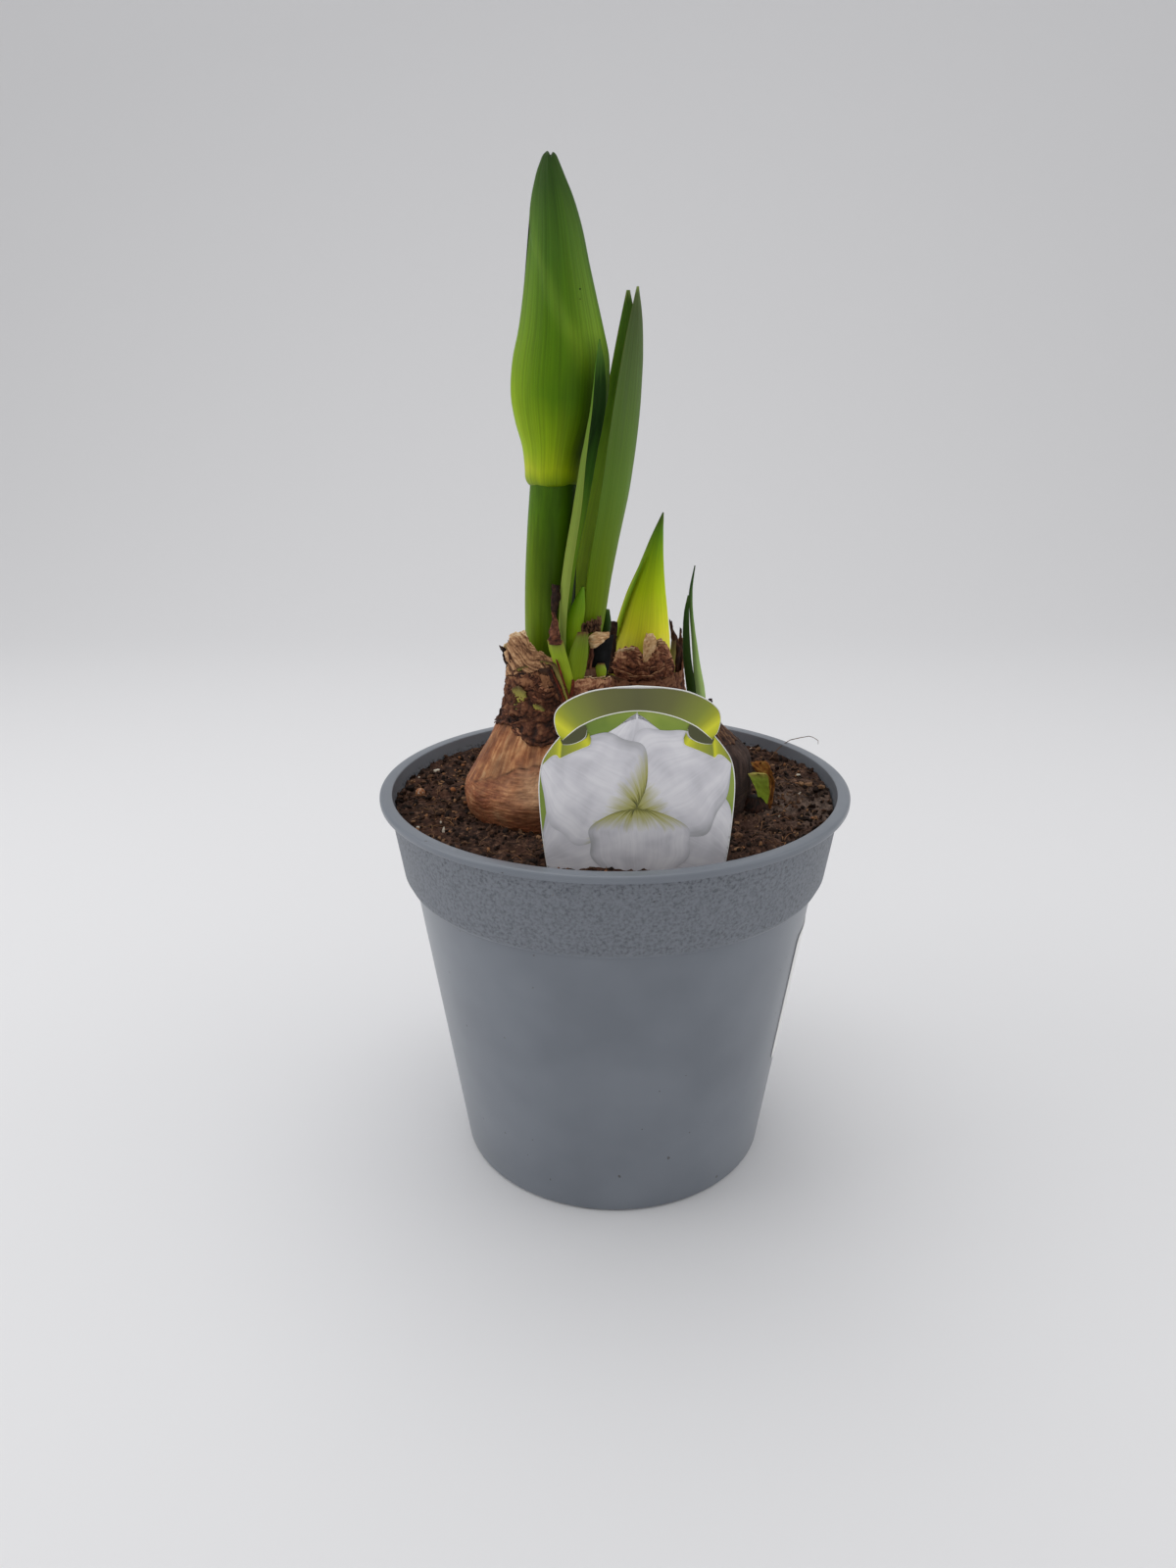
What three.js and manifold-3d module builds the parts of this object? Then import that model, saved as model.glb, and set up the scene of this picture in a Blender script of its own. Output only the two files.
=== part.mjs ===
// A potted amaryllis: three bulbs in a 17 cm grower's pot, one with its flower bud up and two only just
// sprouting. Millimetres, +Z up. The origin is the middle of the pot's foot, on the surface the pot stands on.
import * as THREE from 'three';
import { LoftGeometry } from 'three/addons/geometries/LoftGeometry.js';
import { mergeVertices } from 'three/addons/utils/BufferGeometryUtils.js';
import Module from 'manifold-3d';

const wasm = await Module();
wasm.setup();

// Driving dimensions of the pot
const POT_HEIGHT = 145.4;
const RIM_RADIUS = 85;
const RIM_THICKNESS = 2.8;
const RIM_WIDTH = 4.5;
const COLLAR_TOP_RADIUS = 81.75;
const COLLAR_FOOT_RADIUS = 77.8;
const COLLAR_FOOT_Z = 116.4;
const BODY_TOP_RADIUS = 74.1;
const BODY_TOP_Z = 112.4;
const BODY_FOOT_RADIUS = 58.4;
const WALL = 1.3;
const FLOOR_UNDERSIDE_Z = 3;
const FLOOR_THICKNESS = 1.6;
const FOOT_RING_WIDTH = 6.5;
const DRAIN_HOLE_RADIUS = 5;
const DRAIN_HOLE_COUNT = 8;
const DRAIN_CIRCLE_RADIUS = 38;
const ROUND_SIDES = 52;

// Driving dimensions of the planting
const GAP = 0.35;
const SOIL_TOP_Z = 140.2;
const SOIL_CLEARANCE = 0.5;
const SOIL_ROUGHNESS = 0.9;
const SOIL_HEAP = 2;
const BULB_SIDES = 24;
const SOCKET_SIDES = 16;
const ROOT_SIDES = 5;
const LABEL_Y = -60;
const LABEL_CENTRE_X = 5.7;
const LABEL_THICKNESS = 0.8;
const LABEL_LEAN = THREE.MathUtils.degToRad(1.5);
const STICKER_BOTTOM_Z = 43;
const STICKER_TOP_Z = 97;
const STICKER_START = -20;
const STICKER_END = 40;
const PAPER_THICKNESS = 0.7;

const degrees = THREE.MathUtils.degToRad;
const point = (x, y, z) => new THREE.Vector3(x, y, z);

// A smooth value along 0..1 through evenly spaced knots
function along(...knots) {
  const curve = new THREE.CatmullRomCurve3(knots.map((value, i) => point(i, value, 0)));
  return (t) => curve.getPoint(t).y;
}

function closedGeometry(points, triangles) {
  const geometry = new THREE.BufferGeometry();
  const numbers = points.flatMap((p) => [p.x, p.y, p.z]);
  geometry.setAttribute('position', new THREE.Float32BufferAttribute(numbers, 3));
  geometry.setIndex(triangles);
  geometry.computeVertexNormals();
  return geometry;
}

function solidOf(geometry) {
  const bare = new THREE.BufferGeometry();
  bare.setAttribute('position', geometry.attributes.position);
  bare.setIndex(geometry.index);
  const merged = mergeVertices(bare, 1e-4);
  return new wasm.Manifold(new wasm.Mesh({
    numProp: 3,
    vertProperties: new Float32Array(merged.attributes.position.array),
    triVerts: new Uint32Array(merged.index.array),
  }));
}

// The largest piece of a cut solid, because the cut may leave crumbs
function geometryOf(solid) {
  const pieces = solid.decompose().sort((a, b) => b.volume() - a.volume());
  const mesh = pieces[0].getMesh();
  const geometry = new THREE.BufferGeometry();
  geometry.setAttribute('position', new THREE.BufferAttribute(mesh.vertProperties, 3));
  geometry.setIndex(new THREE.BufferAttribute(mesh.triVerts, 1));
  geometry.computeVertexNormals();
  return geometry;
}

function cut(geometry, cutters) {
  return geometryOf(cutters.reduce((solid, cutter) => solid.subtract(solidOf(cutter)), solidOf(geometry)));
}

// A closed sheet round a middle surface. u runs across it and v along it, and both faces are split alike.
function sheet(surface, thickness, across, length, { ring = false } = {}) {
  const step = 1e-3;
  const columns = ring ? across : across + 1;
  const front = [];
  const back = [];
  for (let j = 0; j <= length; j++) {
    for (let i = 0; i < columns; i++) {
      const u = i / across;
      const v = j / length;
      const middle = surface(u, v);
      const ahead = surface(ring ? u + step : Math.min(u + step, 1), v);
      const behind = surface(ring ? u - step : Math.max(u - step, 0), v);
      const above = surface(u, Math.min(v + step, 1));
      const below = surface(u, Math.max(v - step, 0));
      const normal = ahead.sub(behind).cross(above.sub(below)).normalize();
      const half = thickness(u, v) / 2;
      front.push(middle.clone().addScaledVector(normal, half));
      back.push(middle.clone().addScaledVector(normal, -half));
    }
  }
  const rear = front.length;
  const at = (i, j) => j * columns + (i % columns);
  const triangles = [];
  for (let j = 0; j < length; j++) {
    for (let i = 0; i < across; i++) {
      const [a, b, c, d] = [at(i, j), at(i + 1, j), at(i + 1, j + 1), at(i, j + 1)];
      triangles.push(a, b, c, a, c, d);
      triangles.push(rear + a, rear + c, rear + b, rear + a, rear + d, rear + c);
    }
  }
  const edge = (from, to) => triangles.push(from, to, rear + to, from, rear + to, rear + from);
  for (let i = 0; i < across; i++) {
    edge(at(i + 1, 0), at(i, 0));
    edge(at(i, length), at(i + 1, length));
  }
  if (!ring) {
    for (let j = 0; j < length; j++) {
      edge(at(0, j), at(0, j + 1));
      edge(at(across, j + 1), at(across, j));
    }
  }
  return closedGeometry([...front, ...back], triangles);
}

// A leaf or fleshy scale: level cross-sections are arcs whose outer side faces the bearing, in degrees
// from +X. fold is half the arc's angle, and grow makes it larger all round for the socket it stands in.
function leafGeometry({ spine, halfWidth, bearing, fold, thickness, across = 4, length = 12, grow = 0 }) {
  const curve = new THREE.CatmullRomCurve3(spine.map(([x, y, z]) => point(x, y, z)));
  const edgeThickness = Math.max(0.6, thickness * 0.45);
  const surface = (u, v) => {
    const centre = curve.getPoint(v);
    const half = halfWidth(v) + grow;
    const arc = degrees(fold(v));
    const radius = half / arc;
    const turn = (2 * u - 1) * arc;
    const facing = degrees(bearing(v));
    const outward = point(Math.cos(facing), Math.sin(facing), 0);
    const sideways = point(-Math.sin(facing), Math.cos(facing), 0);
    return centre.addScaledVector(sideways, radius * Math.sin(turn))
      .addScaledVector(outward, -radius * (1 - Math.cos(turn)));
  };
  const depth = (u, v) => {
    const tipward = 1 - 0.45 * v * v;
    const bulge = 1 - (2 * u - 1) ** 2;
    return Math.max(0.6, (edgeThickness + (thickness - edgeThickness) * bulge) * tipward) + 2 * grow;
  };
  return sheet(surface, depth, across, length);
}

// A papery sheath round an oval neck. height(angle) gives its torn top, foot(angle) its lower edge,
// flare how far the top stands out past the bottom, pleats the ripple of the dry skin.
function sheathGeometry({ centre, radii, foot, height, flare = () => 1, from = 0, to = 360, clearance = 0.5,
  pleats = 0.25, around = 32, up = 3, thickness = PAPER_THICKNESS }) {
  const ring = to - from === 360;
  const surface = (u, v) => {
    const bearing = from + u * (to - from);
    const angle = degrees(bearing);
    const low = foot(bearing);
    const z = low + v * (height(bearing) - low);
    const [cx, cy] = centre(z);
    const [rx, ry] = radii(z);
    const ripple = pleats * (1 + Math.sin(17 * angle + 2.3 * v) * (0.4 + 0.6 * v));
    const out = clearance + thickness / 2 + ripple + flare(bearing) * v * v;
    return point(cx + (rx + out) * Math.cos(angle), cy + (ry + out) * Math.sin(angle), z);
  };
  return sheet(surface, () => thickness, around, up, { ring });
}

// A round or oval body: stations run upward as [z, centre x, centre y, radius x, radius y]
function stackedBody(stations, sides, shape = () => 1) {
  const sections = stations.map(([z, cx, cy, rx, ry]) => Array.from({ length: sides }, (_, i) => {
    const angle = (i / sides) * 2 * Math.PI;
    const swell = shape(angle, z);
    return point(cx + rx * swell * Math.cos(angle), cy + ry * swell * Math.sin(angle), z);
  }));
  return new LoftGeometry(sections, { capStart: true, capEnd: true });
}

// The value of a station table between its rows
function stationAt(stations, z) {
  const last = stations.length - 1;
  const upper = Math.min(Math.max(stations.findIndex((row) => row[0] >= z), 1), last);
  const row = z > stations[last][0] ? last : upper;
  const [a, b] = [stations[row - 1], stations[row]];
  const t = THREE.MathUtils.clamp((z - a[0]) / (b[0] - a[0]), 0, 1);
  return a.map((value, k) => THREE.MathUtils.lerp(value, b[k], t));
}

// The pot: an injection-moulded cone with a stepped collar, a flat rim flange and drain holes in its floor
const potOutside = [
  [BODY_FOOT_RADIUS - 1, 0],
  [BODY_FOOT_RADIUS, 1.2],
  [BODY_TOP_RADIUS, BODY_TOP_Z],
  [BODY_TOP_RADIUS + 2.2, BODY_TOP_Z + 0.9],
  [COLLAR_FOOT_RADIUS, COLLAR_FOOT_Z],
  [COLLAR_TOP_RADIUS, POT_HEIGHT - RIM_THICKNESS],
  [RIM_RADIUS - 0.5, POT_HEIGHT - RIM_THICKNESS],
  [RIM_RADIUS, POT_HEIGHT - RIM_THICKNESS + 0.6],
  [RIM_RADIUS, POT_HEIGHT - 0.6],
  [RIM_RADIUS - 0.6, POT_HEIGHT],
];
const potInside = [
  [RIM_RADIUS - RIM_WIDTH, POT_HEIGHT],
  [COLLAR_FOOT_RADIUS - WALL, COLLAR_FOOT_Z],
  [BODY_TOP_RADIUS - WALL, BODY_TOP_Z],
  [BODY_FOOT_RADIUS - WALL, FLOOR_UNDERSIDE_Z + FLOOR_THICKNESS],
];
function potGeometry() {
  const outline = [
    [0, FLOOR_UNDERSIDE_Z],
    [BODY_FOOT_RADIUS - 1 - FOOT_RING_WIDTH, FLOOR_UNDERSIDE_Z],
    [BODY_FOOT_RADIUS - 1 - FOOT_RING_WIDTH, 0],
    ...potOutside,
    ...potInside,
    [0, FLOOR_UNDERSIDE_Z + FLOOR_THICKNESS],
  ];
  const turned = new THREE.LatheGeometry(outline.map(([r, z]) => new THREE.Vector2(r, z)), ROUND_SIDES);
  turned.rotateX(Math.PI / 2);
  const drains = Array.from({ length: DRAIN_HOLE_COUNT }, (_, i) => {
    const angle = ((i + 0.5) / DRAIN_HOLE_COUNT) * 2 * Math.PI;
    const drill = new THREE.CylinderGeometry(DRAIN_HOLE_RADIUS, DRAIN_HOLE_RADIUS, 20, 10);
    drill.rotateX(Math.PI / 2);
    drill.translate(DRAIN_CIRCLE_RADIUS * Math.cos(angle), DRAIN_CIRCLE_RADIUS * Math.sin(angle), 0);
    return drill;
  });
  return cut(turned, drains);
}

function stickerGeometry() {
  const taper = (BODY_TOP_RADIUS - BODY_FOOT_RADIUS) / (BODY_TOP_Z - 1.2);
  const surface = (u, v) => {
    const angle = degrees(THREE.MathUtils.lerp(STICKER_START, STICKER_END, u));
    const z = THREE.MathUtils.lerp(STICKER_BOTTOM_Z, STICKER_TOP_Z, v);
    const radius = BODY_FOOT_RADIUS + taper * (z - 1.2) + GAP + PAPER_THICKNESS / 2;
    return point(radius * Math.cos(angle), radius * Math.sin(angle), z);
  };
  return sheet(surface, () => PAPER_THICKNESS, 14, 2);
}

// The bulbs: a squat body half out of the soil and a neck that the leaves come out of.
// Each row is z, centre x, centre y, radius x, radius y.
const bulbs = {
  left: [
    [108, -24, -11, 9, 9], [112, -24, -11, 15.5, 15.5], [120, -24.5, -11, 21.4, 21.4],
    [130, -25.2, -11, 24, 24], [137, -25.4, -11, 24.8, 24.4], [142, -25.4, -11.4, 27.2, 26],
    [147, -25.4, -11.6, 28, 27.4],
    [151, -25.2, -11.8, 27.6, 27.2], [157, -24.4, -11.6, 24.6, 24.4], [164, -23.6, -11, 21.4, 21],
    [170, -22.8, -10.6, 19, 18.2], [175, -21.6, -10.2, 17.2, 15.4], [181, -20.8, -10, 16.4, 14.2],
    [187, -20.5, -10, 16, 14], [192, -20.5, -10, 15, 13.4],
  ],
  back: [
    [108, 7, 39, 8.5, 8.5], [112, 7, 39, 15, 15], [120, 6.6, 39, 22, 22], [130, 6.2, 39, 25.4, 25.4],
    [138, 6, 39, 26.6, 26.4], [145, 6, 39, 27, 26.8], [152, 6.2, 38.8, 26.2, 26], [159, 6.8, 38, 24, 23],
    [166, 7.4, 37, 21, 19], [172, 7.8, 36.2, 19, 15.4], [178, 7.8, 36, 18.4, 13.8],
  ],
  right: [
    [108, 26, -8.5, 8, 8], [112, 26, -8.5, 13, 13], [120, 26, -8.5, 18.6, 18.6], [131, 26, -8.5, 21.2, 21.2],
    [140, 26, -8.5, 22.2, 22.2], [147, 26, -8.5, 22.2, 22.2], [154, 26.4, -8.5, 21.4, 21.2],
    [160, 26.9, -8.4, 19.6, 18.8], [165, 27.5, -8.2, 16.2, 15], [169, 28, -8, 11.6, 10.4],
    [172, 28.4, -8, 8.4, 8], [175.6, 28.6, -8, 6.6, 6.6],
  ],
};
const lobes = (angle, z) => 1 + 0.012 * Math.sin(3 * angle + z * 0.05) + 0.008 * Math.sin(7 * angle + 1.3);
const OFFSET_CENTRE = [49.3, -16.5];
const offsetStations = [
  [128, ...OFFSET_CENTRE, 2.6, 2.6], [132, ...OFFSET_CENTRE, 4.6, 4.6], [138, ...OFFSET_CENTRE, 5.2, 5.2],
  [142, ...OFFSET_CENTRE, 4.6, 4.6], [145, ...OFFSET_CENTRE, 2.6, 2.6],
];

function bulbBody(stations, grow = 0) {
  const grown = stations.map(([z, cx, cy, rx, ry], row) => {
    const shift = row === 0 ? -grow : row === stations.length - 1 ? grow : 0;
    return [z + shift, cx, cy, rx + grow, ry + grow];
  });
  return stackedBody(grown, BULB_SIDES, lobes);
}

// Leaves, scales and sheaths of the left bulb, which carries the flower
const leaves = {
  leaf_narrow: {
    spine: [[-18.4, -17.4, 184], [-18.3, -18, 207], [-16.4, -18.6, 225], [-13.6, -19, 245], [-10.4, -19.2, 262],
      [-7.6, -19.2, 278], [-5.2, -18.6, 296]],
    halfWidth: along(5.2, 5.4, 6.2, 6.8, 5.6, 3.8, 0.6),
    bearing: along(172, 172, 174, 174, 172, 172, 172),
    fold: along(56, 58, 60, 58, 50, 36, 20),
    thickness: 1.6,
  },
  leaf_rear: {
    spine: [[-10, -2.6, 184], [-9.8, -1.5, 207], [-7, 0.5, 230], [-3.5, 1, 250], [0.3, 1, 269], [3.4, 0.8, 288],
      [4.4, 0, 310.5]],
    halfWidth: along(3.4, 4.2, 5, 5.2, 4.8, 3.4, 0.6),
    bearing: along(84, 84, 84, 84, 84, 86, 90),
    fold: along(40, 36, 30, 26, 24, 22, 20),
    thickness: 1.5,
  },
  leaf_wide: {
    spine: [[-5.6, -12, 184], [-4.5, -12.4, 206], [-2.6, -11.4, 228], [0.4, -10, 250], [4, -8.8, 276],
      [6.4, -7.6, 298], [6.9, -6.8, 311.5]],
    halfWidth: along(7.2, 7.4, 7.5, 7.3, 6.2, 3.6, 0.6),
    bearing: along(-28, -30, -38, -44, -48, -50, -50),
    fold: along(70, 66, 44, 30, 24, 22, 20),
    thickness: 1.8,
  },
  scale_front_left: {
    spine: [[-15.9, -24.2, 187.2], [-17.6, -24.4, 195], [-20.4, -23.8, 204.6]],
    halfWidth: along(1.6, 2, 2.7),
    bearing: along(-104, -104, -106),
    fold: along(20, 20, 24),
    thickness: 1.7,
    length: 4,
    across: 3,
  },
  scale_front_right: {
    spine: [[-12.4, -23.4, 187.2], [-12.1, -23.4, 195], [-9.8, -22.4, 205.6]],
    halfWidth: along(1.4, 1.9, 2.7),
    bearing: along(-76, -76, -72),
    fold: along(20, 20, 24),
    thickness: 1.7,
    length: 4,
    across: 3,
  },
  scale_front_stub: {
    spine: [[-5, -2.6, 187.2], [-4.1, -2.8, 198], [-3.2, -3.2, 208.8]],
    halfWidth: along(1.6, 1.9, 1),
    bearing: along(-20, -20, -20),
    fold: along(24, 24, 24),
    thickness: 1.6,
    length: 4,
    across: 3,
  },
  leaf_lime: {
    spine: [[10.6, 25.2, 168], [10.8, 25, 186], [11.3, 25.4, 197], [12.4, 26, 209], [14.3, 26.6, 220],
      [16.2, 27, 230], [18.2, 27.4, 238.6]],
    halfWidth: along(12, 11.9, 10.4, 7.8, 4.7, 2.4, 0.6),
    bearing: along(-90, -90, -90, -90, -88, -84, -80),
    fold: along(47, 47, 44, 40, 35, 28, 20),
    thickness: 1.7,
  },
  scale_back_stub: {
    spine: [[-4.8, 28, 170], [-4.8, 27.4, 178], [-5, 27, 186.4]],
    halfWidth: along(2.2, 2.4, 2.2),
    bearing: along(-110, -110, -110),
    fold: along(24, 24, 24),
    thickness: 1.8,
    length: 3,
    across: 3,
  },
  scale_back_right: {
    spine: [[22.6, 33.4, 168], [22.7, 33.3, 182], [22.6, 33.2, 196]],
    halfWidth: along(2.3, 2.3, 1.9),
    bearing: along(-14, -14, -14),
    fold: along(20, 20, 20),
    thickness: 1.6,
    length: 4,
    across: 3,
  },
  scale_back_edge: {
    spine: [[24.9, 36, 168], [24.9, 36, 182], [24.5, 36, 194.6]],
    halfWidth: along(2.6, 2.6, 2),
    bearing: along(-10, -10, -10),
    fold: along(20, 20, 20),
    thickness: 1.3,
    length: 4,
    across: 3,
  },
  leaf_thin_left: {
    spine: [[27.2, -8, 166], [26.2, -8, 182], [24.7, -8, 194.5], [24, -8, 205], [24.3, -8, 214.8]],
    halfWidth: along(2.8, 2.9, 2.8, 2.1, 0.6),
    bearing: along(203, 202, 197, 195, 195),
    fold: () => 10,
    thickness: 1.2,
    length: 7,
  },
  leaf_thin_right: {
    spine: [[31.4, -8, 166], [30.4, -8, 181], [28.1, -8, 194], [26.6, -8, 205], [26, -8, 214], [27.2, -8, 225]],
    halfWidth: along(2.8, 3, 2.9, 2.6, 1.9, 0.6),
    bearing: along(-32, -31, -24, -17, -16, -16),
    fold: () => 10,
    thickness: 1.2,
    length: 8,
  },
};

// The flower stalk and its bud. Rows as for the bulbs; the bud is flat from front to back.
const stalkStations = [
  [176, -22.4, -6.6, 8.4, 8], [205, -22.3, -6.8, 8.6, 8.2], [222, -21.8, -7.4, 8.6, 8.2],
  [238, -20.9, -8.2, 8.5, 8.2], [251.8, -20, -8.8, 8.6, 8],
];
const budStations = [
  [252.2, -20, -8.8, 8.6, 8], [256, -20.1, -9, 9.2, 8.2], [264, -19.2, -9, 11.1, 8.8],
  [271, -18.5, -9, 13.8, 9.4], [278, -18.1, -9, 15.4, 9.6], [284, -17.8, -9, 15.7, 9.4],
  [291, -17.4, -9, 15.2, 8.8], [299, -17.3, -9, 13.4, 8.2], [308, -17.6, -9, 11.6, 7.6],
  [318, -18.1, -9, 9.8, 6.8], [328, -18.6, -9, 8.1, 5.8], [336, -19.4, -9, 6.4, 4.6],
  [342, -20, -9, 4.4, 3.2], [346, -20.3, -9, 2.4, 1.9], [348.6, -20.2, -9, 0.9, 0.8],
];
// The two bracts of the bud meet in a soft keel on each side
const keeled = (angle) => 1 - 0.07 * Math.sin(2 * angle) ** 2;

// Dry sheaths. A torn edge is a sum of waves, so that it is ragged but the same each time.
const torn = (bearing, size) => {
  const angle = degrees(bearing);
  return size * (Math.sin(angle * 9) + 0.7 * Math.sin(angle * 23 + 1) + 0.5 * Math.sin(angle * 37 + 2));
};
const hump = (bearing, middle, width) => {
  const offset = ((bearing - middle + 540) % 360) - 180;
  return Math.exp(-((offset / width) ** 2));
};
const neckOf = (stations) => ({
  centre: (z) => stationAt(stations, z).slice(1, 3),
  radii: (z) => stationAt(stations, z).slice(3, 5),
});
const sheaths = {
  tunic_left_neck: {
    ...neckOf(bulbs.left),
    foot: (b) => 169 + torn(b, 0.8),
    height: (b) => 186 + torn(b + 40, 0.4) - 3.4 * hump(b, -72, 12),
    flare: () => 0.5,
    pleats: 0.35,
    around: 34,
  },
  tunic_left_collar: {
    ...neckOf(bulbs.left),
    foot: () => 187.8,
    height: (b) => 203 + torn(b, 0.8) - 4 * hump(b, -80, 14) - 3 * hump(b, 150, 24) + 1.4 * hump(b, -130, 20),
    flare: (b) => 0.4 + 3.2 * hump(b, 178, 18) + 0.8 * hump(b, -130, 30),
    from: -276,
    to: -92,
    around: 24,
  },
  tunic_left_fringe: {
    centre: () => [-9.4, -9.8],
    radii: () => [7.2, 7.2],
    foot: () => 193,
    height: (b) => 207.6 + torn(b * 1.4, 0.9),
    from: -108,
    to: -38,
    around: 10,
    clearance: 0.3,
    pleats: 0.12,
    flare: () => 0.4,
  },
  tunic_back_collar: {
    ...neckOf(bulbs.back),
    foot: (b) => 166 + torn(b, 0.7),
    height: (b) => 177.5 + torn(b, 0.9 - 0.75 * hump(b, -90, 50)) + 11 * hump(b, -166, 16)
      + 7 * hump(b, 110, 34) + 15 * hump(b, 12, 20),
    flare: (b) => 0.6 + 1.6 * hump(b, 110, 30),
    pleats: 0.35,
    around: 36,
  },
  tunic_back_flap: {
    centre: () => [9.8, 36],
    radii: () => [16, 14.6],
    foot: (b) => 178.3 + 2.6 * hump(b, -132, 12) + 3 * hump(b, -46, 12),
    height: (b) => 190.4 + torn(b, 0.5) + 2.4 * hump(b, -62, 10) - 5.4 * hump(b, -138, 8) - 3 * hump(b, -44, 6),
    flare: () => 1.3,
    from: -136,
    to: -44,
    around: 14,
    pleats: 0.2,
  },
  tunic_back_curl: {
    centre: () => [-5, 31.4],
    radii: () => [3.2, 3.2],
    foot: () => 179.6,
    height: (b) => 194.6 + torn(b, 0.5),
    from: 30,
    to: 236,
    around: 12,
    clearance: 0,
    pleats: 0.1,
    flare: () => 0.6,
  },
  tunic_right_collar: {
    ...neckOf(bulbs.right),
    foot: (b) => 168.6 + torn(b, 0.3),
    height: (b) => 175.6 + torn(b, 0.4) + 3.4 * hump(b, -14, 18) + 2 * hump(b, 150, 30),
    flare: () => 0.2,
    around: 28,
    pleats: 0.25,
  },
};

// Torn strips and chips that stand on their own
const scraps = {
  scale_dry_tip: {
    spine: [[-20.9, -23.4, 205.6], [-20.8, -22.6, 212], [-20.4, -21.6, 220.8]],
    halfWidth: along(2.3, 1.7, 0.8),
    bearing: along(-100, -100, -96),
    fold: along(24, 24, 24),
    thickness: 0.8,
    length: 4,
    across: 3,
  },
  tunic_left_fold_outer: {
    spine: [[-16.7, -27, 183.4], [-18.8, -26.9, 188.6], [-22, -26.4, 194.8]],
    halfWidth: along(0.8, 1, 0.9),
    bearing: along(-96, -98, -102),
    fold: along(20, 20, 20),
    thickness: 0.8,
    length: 4,
    across: 2,
  },
  tunic_left_fold_inner: {
    spine: [[-14.8, -26.7, 183.4], [-13.9, -26.3, 186.4], [-12.6, -25.6, 189.6]],
    halfWidth: along(0.7, 0.9, 0.8),
    bearing: along(-84, -84, -84),
    fold: along(20, 20, 20),
    thickness: 0.8,
    length: 3,
    across: 2,
  },
  tunic_back_chip: {
    spine: [[13.6, 22.3, 182], [13.7, 22.3, 189], [13.9, 22.5, 195.8]],
    halfWidth: along(2.2, 2.6, 1.9),
    bearing: along(-90, -90, -90),
    fold: along(18, 18, 18),
    thickness: 0.7,
    length: 3,
    across: 3,
  },
};

// The offset at the right: a small bulb. Its torn scale curls round its far side, with a dry skin outside.
const offsetFoot = (b) => 136.5 + 15.5 / (1 + Math.exp((81 - b) / 6));
const offsetTop = (b) => 141 + 13.2 / (1 + Math.exp((14 - b) / 12)) - 1.4 * hump(b, 136, 12) + torn(b, 0.3);
const offsetSheaths = {
  offset_scale: {
    centre: () => OFFSET_CENTRE,
    radii: () => [5.5, 5.5],
    foot: offsetFoot,
    height: offsetTop,
    from: -56,
    to: 136,
    around: 14,
    up: 4,
    clearance: 0,
    pleats: 0,
    flare: () => 0,
    thickness: 1.2,
  },
  offset_skin: {
    centre: () => OFFSET_CENTRE,
    radii: () => [7, 7],
    foot: (b) => offsetFoot(b) + 0.6,
    height: (b) => offsetTop(b) + 1.4 + 2 * hump(b, 96, 34),
    from: -44,
    to: 128,
    around: 14,
    clearance: 0,
    pleats: 0.12,
    flare: () => 0.4,
  },
};

// Roots: a tuft of fleshy roots under each bulb's basal plate, bending outward and down
function rootTuft([x, y], count, reach, seed, grow = 0) {
  const random = () => {
    seed = (seed * 16807) % 2147483647;
    return seed / 2147483647;
  };
  const foot = [104.6 - grow, x, y, 5 + grow, 5 + grow];
  const top = [107.6 + grow, x, y, 6.4 + grow, 6.4 + grow];
  const plate = stackedBody([foot, top], 10);
  const tubes = Array.from({ length: count }, (_, i) => {
    const angle = ((i + 0.3 * random()) / count) * 2 * Math.PI;
    const out = reach * (0.75 + 0.25 * random());
    const depth = 38 + 34 * random();
    const stations = [0, 0.2, 0.45, 0.72, 1].map((t) => {
      const away = 3.2 + (out - 3.2) * (1 - (1 - t) ** 2);
      const radius = 1.5 - 0.6 * t + grow;
      const bend = angle + 0.5 * t;
      return [106 - depth * t ** 1.2, x + away * Math.cos(bend), y + away * Math.sin(bend), radius, radius];
    });
    return stackedBody(stations.reverse(), ROOT_SIDES);
  });
  return tubes.reduce((solid, tube) => solid.add(solidOf(tube)), solidOf(plate));
}
const rootTufts = {
  left: [[-24, -11], 6, 17, 11],
  back: [[7, 39], 6, 15, 23],
  right: [[26, -8.5], 5, 15, 37],
};

// The plant label: a flat plastic tag on a pointed stake, with an arched head notched under its ribbon's ends
const labelHalf = [
  [0, 196.9], [7.5, 196.4], [14.8, 195.2], [21, 192.6], [24.6, 189.6], [25.6, 186.4], [24.9, 182.6],
  [23.9, 181], [26.8, 177.4], [29.4, 173], [30.6, 166.5], [30.6, 159], [29.8, 148], [28.4, 137],
  [26.8, 128.5], [23.4, 124], [8.6, 120], [6, 116.5], [5.2, 84], [0, 62],
];
function labelGeometry(grow = 0) {
  const right = labelHalf.map(([x, z]) => new THREE.Vector2(x + (x > 0 ? grow : 0), z));
  const left = labelHalf.slice(1, -1).reverse().map(([x, z]) => new THREE.Vector2(-x - grow, z));
  const thickness = LABEL_THICKNESS + 2 * grow;
  const outline = new THREE.Shape([...right, ...left]);
  const plate = new THREE.ExtrudeGeometry(outline, { depth: thickness, bevelEnabled: false });
  plate.translate(0, -SOIL_TOP_Z, -thickness / 2);
  plate.rotateX(Math.PI / 2 - LABEL_LEAN);
  plate.translate(LABEL_CENTRE_X, LABEL_Y, SOIL_TOP_Z);
  return plate;
}

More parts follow.
